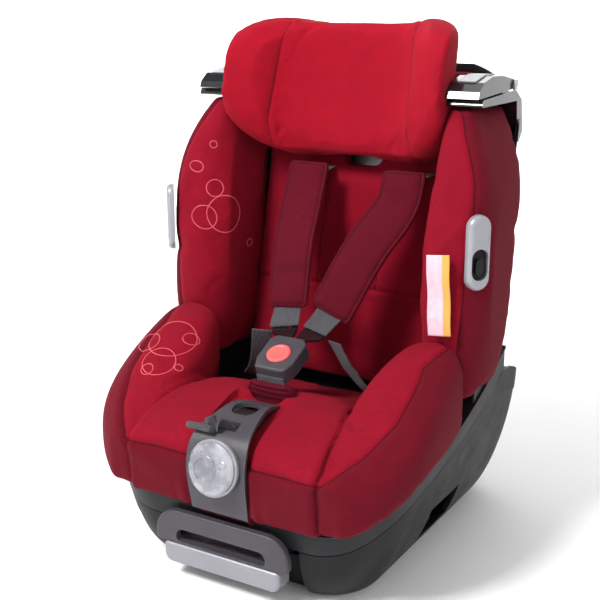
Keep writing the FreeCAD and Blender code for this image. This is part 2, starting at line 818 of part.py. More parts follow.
def make_front_trim():
    trim = trim_slab(0, num("trim_wall")).common(waist())
    axis = knob_axis(1) - knob_axis(0)
    trim = trim.cut(Part.makeCylinder(num("shaft_r") + num("shaft_fit"), 40, knob_axis(-25), axis))
    x, y, z = STRAP_SLOT
    trim = trim.cut(block(x - 13, x + 13, y - 7, y + 7, z - 20, z + 20))
    x, y, z = ARCH_SPOT
    arch = Part.makeCylinder(16.5, 60, V(x, y + 2, z - 30))
    arch = arch.common(block(x - 20, x + 20, y - 12, y + 30, z - 40, z + 40))
    return trim.cut(arch).cut(crotch_slot()).removeSplitter()


front_trim = plain("front_trim", make_front_trim())

knob_disc = revolved("knob_disc", [
    ("0", "1"), ("knob_r", "1"), ("knob_r", "5"), ("knob_r-1.5", "6.5"), ("0", "6.5"),
])
knob_dome = revolved("knob_dome", [
    ("0", "6.6"), ("knob_r-2", "6.6"), ("knob_r-2.6", "9"), ("knob_r-5", "11"), ("knob_r-12", "knob_rise-0.4"),
    ("8", "knob_rise"), ("0", "knob_rise"),
])
knob_shaft = revolved("knob_shaft", [
    ("0", "-20"), ("shaft_r+3", "-20"), ("shaft_r+3", "-17"), ("shaft_r", "-17"), ("shaft_r", "1"), ("0", "1"),
])
knob_turn = FreeCAD.Rotation(V(0, 0, 1), knob_axis(1) - knob_axis(0))
for thing in (knob_disc, knob_dome, knob_shaft):
    thing.Placement = FreeCAD.Placement(knob_axis(0), knob_turn)

adjuster_button = prism(
    "adjuster_button", "YZ_Plane",
    [(-240, 196), (-238, 203.5), (-228, 206), (-218, 204.5), (-215, 199), (-219, 194), (-234, 192)],
    22, 1.5, along((1, 0, 0)),
)
pin_hole = sketch_on(adjuster_button, "button_bore", "YZ_Plane")
circle(pin_hole, -220, 198.5, 2.05)
pocket(adjuster_button, pin_hole, 40, midplane=True)


def make_adjuster_frame():
    """Two cheeks under the trim with the adjuster's pin moulded between them."""
    cheek = block(13, 16, -238, -206, 186, 230)
    cheek = cheek.cut(trim_slab(-30, num("trim_wall") + 0.1))
    floor = block(-16, 16, -238, -206, 183, 186)
    pin = Part.makeCylinder(2, 34, V(-17, -220, 198.5), V(1, 0, 0))
    return floor.fuse([cheek, mirrored(cheek), pin]).removeSplitter()


adjuster_frame = plain("adjuster_frame", make_adjuster_frame())


def make_adjuster_strap():
    """The pull strap: it leaves the slot and folds over to the side, where its end is rolled."""
    points = [V(2, -257, 170), V(1, -261, 186), V(-2, -265, 199), V(-8, -271, 203.5), V(-16, -277, 200)]
    rolled_end = Part.makeCylinder(4, 34, V(-44, -281, 199.5), V(1, 0, 0))
    return ribbon(points, V(0.85, 0.5, 0), 20, 2).fuse(rolled_end).cut(front_trim.Shape)


adjuster_strap = plain("adjuster_strap", make_adjuster_strap())


# ---------------------------------------------------------------------------------------------
# Buckle and tongues, in a frame that leans back with the child's belly
# ---------------------------------------------------------------------------------------------
def at_buckle(thing):
    turn = FreeCAD.Rotation(V(1, 0, 0), num("buckle_tilt"))
    thing.Placement = FreeCAD.Placement(V(0, num("buckle_y"), num("buckle_z")), turn)
    return thing


def from_buckle(x, y, z):
    turn = FreeCAD.Rotation(V(1, 0, 0), num("buckle_tilt"))
    return V(0, num("buckle_y"), num("buckle_z")) + turn.multVec(V(x, y, z))


buckle_housing = prism(
    "buckle_housing", "XY_Plane",
    [(-20, -31), (20, -31), ("buckle_half", -14), ("buckle_half", 20), (18, 28), (-18, 28),
     ("-buckle_half", 20), ("-buckle_half", -14)],
    "buckle_thick", 5, along((0, 0, 1)), offset=-2,
)
round_edges(buckle_housing, 3, lambda edge: abs(edge.BoundBox.ZMin - 8) < 0.01 and edge.BoundBox.ZLength < 0.01)
button_well = sketch_on(buckle_housing, "button_well", "XY_Plane", 8)
circle(button_well, 0, -4, "button_r+button_fit")
pocket(buckle_housing, button_well, 13)
mouths = sketch_on(buckle_housing, "tongue_mouths", "XY_Plane", 2.3)
outline(mouths, [(3, 12.5), (19, 12.5), (19, 40), (3, 40)])
outline(mouths, [(-19, 12.5), (-3, 12.5), (-3, 40), (-19, 40)])
pocket(buckle_housing, mouths, "tongue_thick+0.6")
at_buckle(buckle_housing)

buckle_button = revolved("buckle_button", [
    ("0", "0"), ("button_r", "0"), ("button_r", "9"), ("button_r-1.5", "10.5"), ("button_r-3", "10.8"),
    ("button_r-5", "10"), ("0", "9.4"),
])
buckle_button.Placement = FreeCAD.Placement(from_buckle(0, -4, 0), buckle_housing.Placement.Rotation)


def make_tongue(sign):
    """A steel blade with a moulded head that the webbing loops through."""
    body = new_body("tongue_left" if sign > 0 else "tongue_right")
    blade = sketch_on(body, f"{body.Label}_blade", "XY_Plane", -1)
    corners = [(4, 14), (18, 14), (18, 31), (34, 36), (40, 52), (34, 62), (8, 58), (3, 46), (3, 31)]
    outline(blade, [(x * sign, y) for x, y in corners])
    pad(body, blade, "tongue_thick")
    gate = sketch_on(body, f"{body.Label}_gate", "XY_Plane", 3)
    outline(gate, [(x * sign, y) for x, y in [(12, 48), (33, 52), (32, 56), (11, 52)]])
    pocket(body, gate, 10)
    return at_buckle(body)


tongue_left = make_tongue(1)
tongue_right = make_tongue(-1)

# ---------------------------------------------------------------------------------------------
# Webbing and its pads
# ---------------------------------------------------------------------------------------------
CROTCH_PATH = [V(0, -160, 120), V(0, -164, 178), V(0, -170, 219), from_buckle(0, -32.5, -4)]


def make_crotch_strap():
    return ribbon(CROTCH_PATH, V(1, 0, 0), num("web"), num("web_thick"))


def make_crotch_pad():
    points = [V(0, -164, 186), V(0, -167, 203), V(0, -170, 219)]
    pad_shape = ribbon(points, V(1, 0, 0), [72, 70, 62], 15)
    pad_shape = pad_shape.cut(ribbon(CROTCH_PATH, V(1, 0, 0), num("web") + 1, num("web_thick") + 0.8))
    return max(pad_shape.cut(front_trim.Shape).Solids, key=lambda solid: solid.Volume)


# top of each shoulder strap beside the child's neck: sideways place and how far forward it lies
STRAP_TOPS = {"left": (92, -12), "right": (-52, 4)}


def shoulder_path(side):
    sign = 1 if side == "left" else -1
    top_x, top_y = STRAP_TOPS[side]
    return [
        from_buckle(22 * sign, 47.5, 4.2), V(30 * sign, -84, 292), V((30 * sign + top_x) / 2, -50, 370),
        V(top_x, top_y - 8, 432), V(top_x, top_y + 14, 450), V(top_x, 46, 455),
    ]


def shoulder_across(side):
    sign = 1 if side == "left" else -1
    return [V(1, 0.1 * sign, 0.12 * sign), V(1, 0.1 * sign, 0), V(1, 0.1 * sign, 0), V(1, 0, 0),
            V(1, 0, 0), V(1, 0, 0)]


def make_shoulder_strap(side):
    return ribbon(shoulder_path(side), shoulder_across(side), num("web"), num("web_thick"))


def make_shoulder_pad(side):
    path = shoulder_path(side)
    along_pad = [path[1], path[2], path[3]]
    across = shoulder_across(side)[1:4]
    pad_shape = ribbon(along_pad, across, num("pad_web"), num("pad_thick"))
    tunnel = ribbon(path, shoulder_across(side), num("web") + 1, num("web_thick") + 0.8)
    return pad_shape.cut(tunnel)


def make_lap_strap(side):
    sign = 1 if side == "left" else -1
    points = [from_buckle(52 * sign, 40, -2), V(66 * sign, -92, 226), V(84 * sign, -74, 196),
              V(103 * sign, -54, 182)]
    across = [V(0.5 * sign, -0.6, 0.6), V(0.45 * sign, -0.6, 0.6), V(0.4 * sign, -0.7, 0.5),
              V(0.4 * sign, -0.8, 0.35)]
    return ribbon(points, across, 26, num("web_thick"))


crotch_strap = plain("crotch_strap", make_crotch_strap())
crotch_pad = plain("crotch_pad", make_crotch_pad())
shoulder_straps = [plain(f"shoulder_strap_{s}", make_shoulder_strap(s)) for s, _ in SIDES]
shoulder_pads = [plain(f"shoulder_pad_{s}", make_shoulder_pad(s)) for s, _ in SIDES]
lap_straps = [plain(f"lap_strap_{s}", make_lap_strap(s)) for s, _ in SIDES]

yoke_plate = box("yoke_plate", -34, "wall_u+10", 150, 68, 3, 34)
yoke_window = box("yoke_window", -24, "wall_u+8", 160, 48, 8, 8)
harness_yoke = leaning(cut("harness_yoke", yoke_plate, yoke_window))


# ---------------------------------------------------------------------------------------------
# Soft parts: plain closed solids
# ---------------------------------------------------------------------------------------------
# y and half width of the seat cushion: it narrows towards the child's hips
CUSHION_EDGE = [(-300, 129), (-270, 128), (-224, 120), (-190, 111), (-165, 105), (0, 105)]


def cushion_plan():
    right = [V(half, y, 50) for y, half in CUSHION_EDGE]
    left = [V(-p.x, p.y, p.z) for p in reversed(right)]
    return Part.Face(Part.makePolygon(right + left + right[:1])).extrude(V(0, 0, 300))


def make_seat_cushion():
    gap = num("run_gap")
    top = [(-284, 158), (-268, 178), (-230, 194), (-160, 206), (-110, 188), (-60, 173), (-12, 168)]
    inside = num("slide_r") - num("wall") - gap
    low = [(y, arc_z(inside, y)) for y in (-284, -230, -160, -110, -60, -12)]
    half = num("cushion_half")
    seat = curve_slab(low, top, half).common(tub_form(6, inside, 300))
    rim = num("rim_high") + num("wall") + 0.5
    apron = curve_slab([(-291, 99), (-270, 99.5), (-250, 106)], [(-291, 158), (-270, 176), (-250, 186)], half)
    apron = apron.common(curve_slab(edge(rim), edge(300)))
    cushion = seat.fuse(apron).common(cushion_plan())
    channel = trim_slab(-60, num("trim_wall") + 1).common(waist(num("channel_gap")))
    cushion = cushion.cut(channel)
    cushion = cushion.cut(block(-18, 18, -240, -204, 178, 215))
    cushion = cushion.cut(block(-14, 14, -272, -252, 160, 215))
    axis = knob_axis(1) - knob_axis(0)
    cushion = cushion.cut(Part.makeCylinder(num("shaft_r") + 4, 60, knob_axis(-22), axis))
    cushion = cushion.cut(crotch_slot()).cut(crotch_pad.Shape)
    return cushion.removeSplitter()


def make_back_cushion():
    half, high = num("back_half"), num("back_length")
    cushion = Part.makeBox(half * 2, num("pad_depth"), high, V(-half, 0, 0))
    slot = Part.makeBox(52, 60, 200, V(-26, -10, 300))
    cushion = leaned(cushion.cut(slot)).cut(block(-300, 300, -20, 300, 0, 172))
    return max(cushion.cut(seat_shell.Shape).Solids, key=lambda solid: solid.Volume)


def on_wing(shape):
    """Moves a shape drawn facing -Y onto the outer front corner of the left wing."""
    copy = shape.copy()
    copy.rotate(V(0, 0, 0), V(0, 0, 1), num("holder_turn"))
    copy.translate(V(num("holder_x"), num("holder_y"), num("holder_z")))
    return copy


def stadium(wide, high, y0, y1, drop=0.0):
    """An upright slot shape between y0 and y1."""
    r = wide / 2 - 0.001
    wire = rounded_rectangle(-wide / 2, wide / 2, drop - high / 2, drop + high / 2, r, r, 0)
    slab = Part.Face(wire).extrude(V(0, 0, y1 - y0))
    slab.rotate(V(0, 0, 0), V(1, 0, 0), 90)
    slab.translate(V(0, y1, 0))
    return slab


# y, inner x, outer x, lowest and highest z of the rolls beside the thighs
BOLSTER = [(-286, 131.5, 160, 102, 160), (-250, 127.5, 201, 122, 184), (-210, 119, 219, 145, 212),
           (-165, 116, 222, 157, 246), (-120, 126, 219, 166, 272), (-84, 138, 213, 178, 279)]
# z, inner x, outer x, front y, back y of the wings
WING = [(205, 150, 212, -76, 18), (260, 146, 219, -84, 30), (330, 144, 221, -86, 42), (400, 145, 220, -80, 52),
        (470, 149.5, 213, -66, 66), (518, 150, 196, -46, 78), (546, 151.5, 181, -26, 86)]


def make_bolster():
    wires = []
    for y, x0, x1, z0, z1 in BOLSTER:
        r = min(x1 - x0, z1 - z0) * 0.42
        wire = rounded_rectangle(x0, x1, z0, z1, r * 0.4, r, 0)
        wire.rotate(V(0, 0, 0), V(1, 0, 0), 90)
        wire.translate(V(0, y, 0))
        wires.append(wire)
    roll = Part.makeLoft(wires, True, False)
    rim = num("rim_high") + num("wall") + 0.5
    return roll.common(curve_slab(edge(rim), edge(300)))


def make_wing_pad():
    wires = []
    for z, x0, x1, front, back in WING:
        r = (x1 - x0) * 0.42
        wires.append(rounded_rectangle(x0, x1, front, back, r, 8, z))
    wing = Part.makeLoft(wires, True, False)
    wing = wing.cut(make_bolster_gap())
    fit = 0.3
    form = back_form(-fit, num("wall_u") + num("wall") + fit).cut(
        back_form(num("wall") + fit, num("wall_u") - fit, -20)
    )
    slot = form.common(block(-300, 300, -30 - fit, 400, 0, 700))
    wing = wing.cut(slot)
    cushion_zone = Part.makeBox(2 * num("back_half") + 0.6, 400, 800, V(-num("back_half") - 0.3, -20, -50))
    cushion_zone.Placement = lean_placement()
    behind = Part.makeBox(600, 200, 800, V(-300, num("wall_u") - 1, -50))
    behind.Placement = lean_placement()
    wing = wing.cut(behind)
    rim = num("rim_high") + num("wall") + 0.5
    wing = wing.common(curve_slab(edge(rim), edge(600)))
    wing = wing.cut(clamp_room())
    wing = wing.cut(on_wing(stadium(num("holder_wide") + 1, num("holder_high") + 1, -20, 0.3)))
    pieces = sorted(wing.Solids, key=lambda solid: solid.Volume)
    return pieces[-1]


def make_bolster_gap():
    wires = []
    for y, x0, x1, z0, z1 in BOLSTER:
        r = min(x1 - x0, z1 - z0) * 0.42
        wire = rounded_rectangle(x0 - 0.4, x1 + 6, z0 - 10, z1 + 0.4, r * 0.4, r, 0)
        wire.rotate(V(0, 0, 0), V(1, 0, 0), 90)
        wire.translate(V(0, y if y < -84 else y + 0.4, 0))
        wires.append(wire)
    return Part.makeLoft(wires, True, False)


seat_cushion = plain("seat_cushion", make_seat_cushion())
back_cushion = plain("back_cushion", make_back_cushion())
thigh_bolsters = both_sides("thigh_bolster", make_bolster)
wing_pads = both_sides("wing_pad", make_wing_pad)


# ---------------------------------------------------------------------------------------------
# Headrest, drawn in the backrest's frame: x sideways, y behind the face, z up the face
# ---------------------------------------------------------------------------------------------
HEAD_LOW = 297
HEAD_HIGH = 476
ARM_LOW = 318
ARM_HIGH = 346
HEAD_TRAVEL = 80


def head_plan(low, height):
    """The cup of the headrest seen from above: a centre panel and two forward wings."""
    half = num("head_half")
    front = [V(half - 3, -126, low), V(half - 24, -112, low), V(94, -70, low), V(56, -51, low),
             V(0, -47, low)]
    back = [V(half, -104, low), V(half - 8, -60, low), V(half - 30, -22, low), V(84, -4, low)]
    front += [V(-p.x, p.y, p.z) for p in reversed(front[:-1])]
    inner = Part.BSplineCurve()
    inner.interpolate(front)
    right = Part.BSplineCurve()
    right.interpolate([front[0]] + back)
    left = Part.BSplineCurve()
    left.interpolate([V(-p.x, p.y, p.z) for p in [front[0]] + back])
    rear = Part.makeLine(back[-1], V(-back[-1].x, back[-1].y, low))
    wire = Part.Wire(Part.__sortEdges__([inner.toShape(), right.toShape(), rear, left.toShape()]))
    return Part.Face(wire).extrude(V(0, 0, height))


def head_front_view():
    """The rounded outline of the headrest seen from the front."""
    half = num("head_half") + 2
    wire = rounded_rectangle(-half, half, HEAD_LOW, HEAD_HIGH, 66, 50, 0)
    slab = Part.Face(wire).extrude(V(0, 0, 300))
    slab.rotate(V(0, 0, 0), V(1, 0, 0), 90)
    slab.translate(V(0, 100, 0))
    return slab


def head_side_view():
    """The outline of the headrest seen from the side: its wings reach furthest forward at mid height."""
    nose = [V(0, -60, HEAD_HIGH), V(0, -88, 462), V(0, -118, 428), V(0, -128, 390), V(0, -120, 352),
            V(0, -92, 318), V(0, -60, HEAD_LOW)]
    curve = Part.BSplineCurve()
    curve.interpolate(nose)
    corners = [nose[-1], V(0, 20, HEAD_LOW), V(0, 20, HEAD_HIGH), nose[0]]
    lines = [Part.makeLine(a, b) for a, b in zip(corners, corners[1:])]
    wire = Part.Wire([curve.toShape()] + lines)
    slab = Part.Face(wire).extrude(V(400, 0, 0))
    slab.translate(V(-200, 0, 0))
    return slab


def make_headrest_pad():
    pad = head_plan(HEAD_LOW, HEAD_HIGH - HEAD_LOW).common(head_front_view()).common(head_side_view())
    return leaned(pad)


def make_headrest_frame():
    """The plastic back of the headrest with its arm and the ears and pin of the lever."""
    outline_wire = rounded_rectangle(-80, 80, HEAD_LOW + 14, HEAD_HIGH - 24, 20, 30, 0)
    plate = Part.Face(outline_wire).extrude(V(0, 0, 2.4))
    plate.rotate(V(0, 0, 0), V(1, 0, 0), 90)
    plate.translate(V(0, -0.9, 0))
    arm = block(-20, 20, -1, num("carrier_u"), ARM_LOW, ARM_HIGH)
    ears = [block(x, x + 4, -0.9, 12, 440, 456) for x in (-41, 37)]
    pin = Part.makeCylinder(1.5, 82, V(-41, 6.6, 448), V(1, 0, 0))
    return leaned(plate.fuse([arm, pin] + ears).removeSplitter())


head_pad = plain("headrest_pad", make_headrest_pad())
headrest_frame = plain("headrest_frame", make_headrest_frame())
carrier_plate = box("carrier_plate", -60, "carrier_u", ARM_LOW - 110, 120, 4, 150)
carrier_window = box("carrier_window", -46, "carrier_u-2", ARM_LOW - 80, 92, 8, 46)
headrest_carrier = leaning(cut("headrest_carrier", carrier_plate, carrier_window))


def make_headrest_guide():
    """A channel on the shell that the carrier's edge slides in."""
    u = num("carrier_u")
    rail_block = block(56, 70, u - 3, num("wall_u"), ARM_LOW - 122, ARM_HIGH + HEAD_TRAVEL + 8)
    groove = block(50, 60.5, u - 0.4, u + 4.4, 0, 600)
    return leaned(rail_block.cut(groove))


headrest_guides = plain("headrest_guides", pair(make_headrest_guide()))

headrest_lever = prism(
    "headrest_lever", "YZ_Plane", [(0, 0), (12, 2), (16, 8), (15, 14), (9, 10), (0, 8)],
    70, 1.5, along((1, 0, 0)),
)
lever_bore = sketch_on(headrest_lever, "lever_bore", "YZ_Plane")
circle(lever_bore, 4, 4, 1.55)
pocket(headrest_lever, lever_bore, 90, midplane=True)
leaning(headrest_lever, 444, 2.6)


# ---------------------------------------------------------------------------------------------
# Belt clamps on the wing tops
# ---------------------------------------------------------------------------------------------
CLAMP_LEVER = [(-34, 557.2), (-31, 565), (-18, 575), (10, 581), (44, 580), (74, 575), (86, 572.5),
               (88.5, 568), (86, 563.5), (80, 562.3), (-24, 557.2)]
CLAMP_PIN = (82, 568)
CLAMP_PLATE = [(-19, 574.8), (10, 581), (36, 580.4), (36, 582), (10, 582.7), (-20, 576.3)]


def clamp_prism(label, sign, points, width, radius):
    """A profile in the YZ plane, padded evenly about the middle of one clamp."""
    body = prism(label, "YZ_Plane", points, width, offset=0)
    if radius:
        round_edges(body, radius, lambda edge: edge.Length > num(width) - 1 and along((1, 0, 0))(edge))
    body.Placement = FreeCAD.Placement(V(sign * num("clamp_x"), 0, 0), FreeCAD.Rotation())
    return body


clamp_bases = []
clamp_levers = []
clamp_plates = []
for side, sign in SIDES:
    clamp_bases.append(clamp_prism(f"clamp_base_{side}", sign, CLAMP_BASE, "clamp_wide", 2))
    lever = clamp_prism(f"clamp_lever_{side}", sign, CLAMP_LEVER, "clamp_wide-clamp_ear*2-1", 0)
    bore = sketch_on(lever, f"clamp_bore_{side}", "YZ_Plane")
    circle(bore, CLAMP_PIN[0], CLAMP_PIN[1], 2.55)
    pocket(lever, bore, 90, midplane=True)
    clamp_levers.append(lever)
    clamp_plates.append(clamp_prism(f"clamp_plate_{side}", sign, CLAMP_PLATE, 22, 0))


def make_clamp_pin():
    """The hinge pin of one clamp with the two ears of its base."""
    wide, thick = num("clamp_wide"), num("clamp_ear")
    low = num("clamp_x") - wide / 2
    y, z = CLAMP_PIN
    pin = Part.makeCylinder(2.5, wide, V(low, y, z), V(1, 0, 0))
    ears = []
    for x in (low, low + wide - thick):
        ears.append(block(x, x + thick, y - 6, y + 4, 561.2, z))
        ears.append(Part.makeCylinder(5.6, thick, V(x, y, z), V(1, 0, 0)))
    return pin.fuse(ears).removeSplitter()


clamp_pins = plain("clamp_pins", pair(make_clamp_pin()))

# ---------------------------------------------------------------------------------------------
# Harness holders and label
# ---------------------------------------------------------------------------------------------
def make_holder():
    rise = num("holder_rise")
    wide, high = num("holder_wide"), num("holder_high")
    plate = stadium(wide, high, -rise, 0)
    rim_edges = [e for e in plate.Edges if e.BoundBox.YMax < 0.01 - rise]
    plate = plate.makeFillet(6, rim_edges)
    return on_wing(plate.cut(stadium(21, 37, -rise - 1, -rise + 7, -13)))


def make_hook():
    rise = num("holder_rise")
    well = stadium(20.6, 36.6, -rise + 5, -rise + 7, -13)
    hook = stadium(10, 20, -rise + 0.5, -rise + 5.5, -16)
    return on_wing(well.fuse(hook))


holder_plates = plain("holder_plates", pair(make_holder()))
holder_hooks = plain("holder_hooks", pair(make_hook()))


def make_care_label():
    points = [V(183, -91, 290), V(181, -91.5, 323), V(178, -90, 358), V(176, -87.5, 386)]
    return ribbon(points, V(1, 0, 0.1), 28, 0.8)


care_label = plain("care_label", make_care_label())


def check_document():
    doc.recompute()
    for thing in doc.Objects:
        if "Invalid" in thing.State or "Error" in thing.State:
            raise RuntimeError(f"{thing.Label}: {thing.State}")


def export(parts):
    os.makedirs("parts", exist_ok=True)
    for thing in parts:
        if thing.Shape.isNull() or not thing.Shape.isValid():
            raise RuntimeError(f"{thing.Label}: bad shape")
        thing.Shape.exportStep(f"parts/{thing.Label}.step")


PARTS = [base_tray, base_cover, rails, recline_rack, base_screws, belt_guides, base_feet,
         seat_shell, shell_rim, back_cover, back_cover_screws, runners, guide_pins, latch_brackets,
         recline_bolt, handle_frame, handle_grip, pull_rods, front_trim, knob_disc, knob_dome, knob_shaft,
         adjuster_button, adjuster_frame, adjuster_strap, buckle_housing,
         buckle_button, tongue_left, tongue_right, crotch_strap, crotch_pad, *shoulder_straps,
         *shoulder_pads, *lap_straps, harness_yoke, seat_cushion, back_cushion, *thigh_bolsters,
         *wing_pads, head_pad, headrest_frame, headrest_carrier, headrest_guides, headrest_lever,
         *clamp_bases, *clamp_levers, *clamp_plates, clamp_pins, holder_plates, holder_hooks, care_label]
check_document()
export(PARTS)
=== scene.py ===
"""Looks of a convertible child car seat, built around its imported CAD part."""
import json
import math

import bpy
import numpy as np
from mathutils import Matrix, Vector
from mathutils.bvhtree import BVHTree


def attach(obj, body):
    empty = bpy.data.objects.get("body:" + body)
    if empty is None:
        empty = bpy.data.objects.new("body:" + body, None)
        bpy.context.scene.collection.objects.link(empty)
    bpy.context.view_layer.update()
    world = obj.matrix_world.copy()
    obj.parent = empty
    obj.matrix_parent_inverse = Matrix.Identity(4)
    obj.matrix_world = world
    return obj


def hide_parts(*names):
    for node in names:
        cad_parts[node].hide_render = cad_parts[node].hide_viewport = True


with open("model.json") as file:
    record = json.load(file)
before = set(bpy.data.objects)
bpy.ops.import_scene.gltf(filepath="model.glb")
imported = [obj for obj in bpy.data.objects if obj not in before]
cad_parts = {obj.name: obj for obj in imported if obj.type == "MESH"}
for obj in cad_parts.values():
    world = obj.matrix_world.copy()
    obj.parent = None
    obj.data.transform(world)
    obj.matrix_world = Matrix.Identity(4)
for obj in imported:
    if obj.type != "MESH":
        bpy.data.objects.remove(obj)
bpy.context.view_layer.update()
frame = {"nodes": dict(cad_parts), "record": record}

MM = 0.001
scene = bpy.context.scene


# ---------------------------------------------------------------------------------------------
# Material helpers
# ---------------------------------------------------------------------------------------------
def linear(*srgb):
    """An sRGB colour given in 0 to 255, as the linear RGBA that shaders take."""
    values = [c / 255 for c in srgb]
    return tuple(c / 12.92 if c <= 0.04045 else ((c + 0.055) / 1.055) ** 2.4 for c in values) + (1.0,)


class Nodes:
    """A new material's node tree, with short calls to add and join nodes."""

    def __init__(self, name, roughness, **constants):
        self.material = bpy.data.materials.new(name)
        self.material.use_nodes = True
        self.tree = self.material.node_tree
        self.shader = self.tree.nodes["Principled BSDF"]
        self.shader.inputs["Roughness"].default_value = roughness
        for socket, value in constants.items():
            self.shader.inputs[socket.replace("_", " ")].default_value = value

    def add(self, kind, inputs=(), **settings):
        node = self.tree.nodes.new(kind)
        for key, value in settings.items():
            setattr(node, key, value)
        for socket, value in dict(inputs).items():
            self.put(node.inputs[socket], value)
        return node

    def put(self, socket, value):
        """Joins an output to the socket, or sets the socket to a constant."""
        if isinstance(value, bpy.types.NodeSocket):
            self.tree.links.new(value, socket)
        else:
            socket.default_value = value

    def place(self):
        return self.add("ShaderNodeTexCoord").outputs["Object"]

    def maths(self, operation, *values):
        node = self.add("ShaderNodeMath", operation=operation)
        for socket, value in zip(node.inputs, values):
            self.put(socket, value)
        return node.outputs[0]

    def vectors(self, operation, *values):
        node = self.add("ShaderNodeVectorMath", operation=operation)
        for socket, value in zip(node.inputs, values):
            self.put(socket, value)
        return node.outputs["Value" if operation == "DOT_PRODUCT" else "Vector"]

    def noise(self, scale, detail=3.0, roughness=0.5, vector=None):
        node = self.add("ShaderNodeTexNoise", {"Scale": scale, "Detail": detail, "Roughness": roughness})
        self.put(node.inputs["Vector"], vector or self.place())
        return node.outputs["Fac"]

    def spread(self, value, low, high, to_low, to_high, smooth=False):
        kind = "SMOOTHSTEP" if smooth else "LINEAR"
        sockets = {"Value": value, "From Min": low, "From Max": high, "To Min": to_low, "To Max": to_high}
        return self.add("ShaderNodeMapRange", sockets, interpolation_type=kind).outputs["Result"]

    def mix(self, factor, first, second):
        node = self.add("ShaderNodeMix", data_type="RGBA")
        self.put(node.inputs["Factor"], factor)
        self.put(node.inputs[6], first)
        self.put(node.inputs[7], second)
        return node.outputs[2]

    def scaled(self, colour, amount):
        """The colour made lighter or darker."""
        vector = colour if isinstance(colour, bpy.types.NodeSocket) else colour[:3]
        node = self.add("ShaderNodeVectorMath", {0: vector, "Scale": amount}, operation="SCALE")
        return node.outputs["Vector"]

    def attribute(self, name):
        return self.add("ShaderNodeAttribute", attribute_name=name).outputs["Fac"]

    def bump(self, height, distance, strength=1.0, normal=None):
        node = self.add("ShaderNodeBump", {"Height": height, "Distance": distance, "Strength": strength})
        if normal:
            self.put(node.inputs["Normal"], normal)
        return node.outputs["Normal"]

    def finish(self, colour, normal=None, roughness=None):
        self.put(self.shader.inputs["Base Color"], colour)
        if normal:
            self.put(self.shader.inputs["Normal"], normal)
        if roughness:
            self.put(self.shader.inputs["Roughness"], roughness)
        return self.material


def weave(nodes, pitch):
    """A plain weave of that pitch in metres, seen from whichever side a surface faces."""
    turned = nodes.vectors("SINE", nodes.vectors("MULTIPLY", nodes.place(), (2 * math.pi / pitch,) * 3))
    parts = nodes.add("ShaderNodeSeparateXYZ", {"Vector": turned}).outputs
    pairs = nodes.add("ShaderNodeCombineXYZ", {
        "X": nodes.maths("MULTIPLY", parts["Y"], parts["Z"]),
        "Y": nodes.maths("MULTIPLY", parts["X"], parts["Z"]),
        "Z": nodes.maths("MULTIPLY", parts["X"], parts["Y"]),
    }).outputs[0]
    facing = nodes.add("ShaderNodeTexCoord").outputs["Normal"]
    return nodes.vectors("DOT_PRODUCT", nodes.vectors("MULTIPLY", facing, facing), pairs)


# ---------------------------------------------------------------------------------------------
# Materials
# ---------------------------------------------------------------------------------------------
def knitted_fabric(name, inner, outer, pitch=0.0013, sheen=0.1):
    """Seat fabric: one colour inside the sewn seam and another outside it, with painted shade darkening
    the seam groove itself.
    """
    n = Nodes(name, 0.85, Sheen_Weight=sheen, Sheen_Roughness=0.4, Sheen_Tint=linear(235, 90, 110),
              Specular_IOR_Level=0.15)
    side = n.attribute("seam")
    colour = n.mix(n.spread(side, -0.3, 0.3, 0, 1), inner, outer)
    threads = weave(n, pitch)
    tone = n.spread(n.noise(55, 4), 0.3, 0.7, 0.93, 1.06)
    tone = n.maths("MULTIPLY", tone, n.spread(n.noise(700, 2), 0.3, 0.7, 0.94, 1.05))
    tone = n.maths("MULTIPLY", tone, n.spread(threads, -1, 1, 0.9, 1.08))
    # painted shade: the colour darkens towards the seam line, where the groove lies in shade
    crease = n.spread(n.maths("ABSOLUTE", side), 0.3, 1.5, 0.42, 1.0, smooth=True)
    tone = n.maths("MULTIPLY", tone, crease)
    normal = n.bump(threads, 0.00022)
    normal = n.bump(n.noise(260, 3), 0.0004, 0.6, normal)
    return n.finish(n.scaled(colour, tone), normal)


def ribbed_webbing():
    """Harness webbing: fine ribs across the strap, a denser selvage and slightly worn edges."""
    n = Nodes("webbing_weave", 0.62, Sheen_Weight=0.2, Specular_IOR_Level=0.4)
    parts = n.add("ShaderNodeSeparateXYZ", {"Vector": n.add("ShaderNodeTexCoord").outputs["UV"]}).outputs
    ribs = n.maths("SINE", n.maths("MULTIPLY", parts["X"], 2 * math.pi / 0.0014))
    zigzag = n.maths("PINGPONG", n.maths("MULTIPLY", parts["Y"], 1000.0), 3.2)
    slant = n.maths("ADD", n.maths("MULTIPLY", parts["X"], 4200.0), n.maths("MULTIPLY", zigzag, 1.6))
    twill = n.maths("SINE", slant)
    height = n.maths("ADD", n.maths("MULTIPLY", ribs, 0.5), n.maths("MULTIPLY", twill, 0.5))
    cloud = n.spread(n.noise(90, 3), 0.3, 0.7, 0.9, 1.1)
    tone = n.maths("MULTIPLY", n.spread(height, -1, 1, 0.78, 1.15), cloud)
    return n.finish(n.scaled(linear(56, 54, 60), tone), n.bump(height, 0.0003))


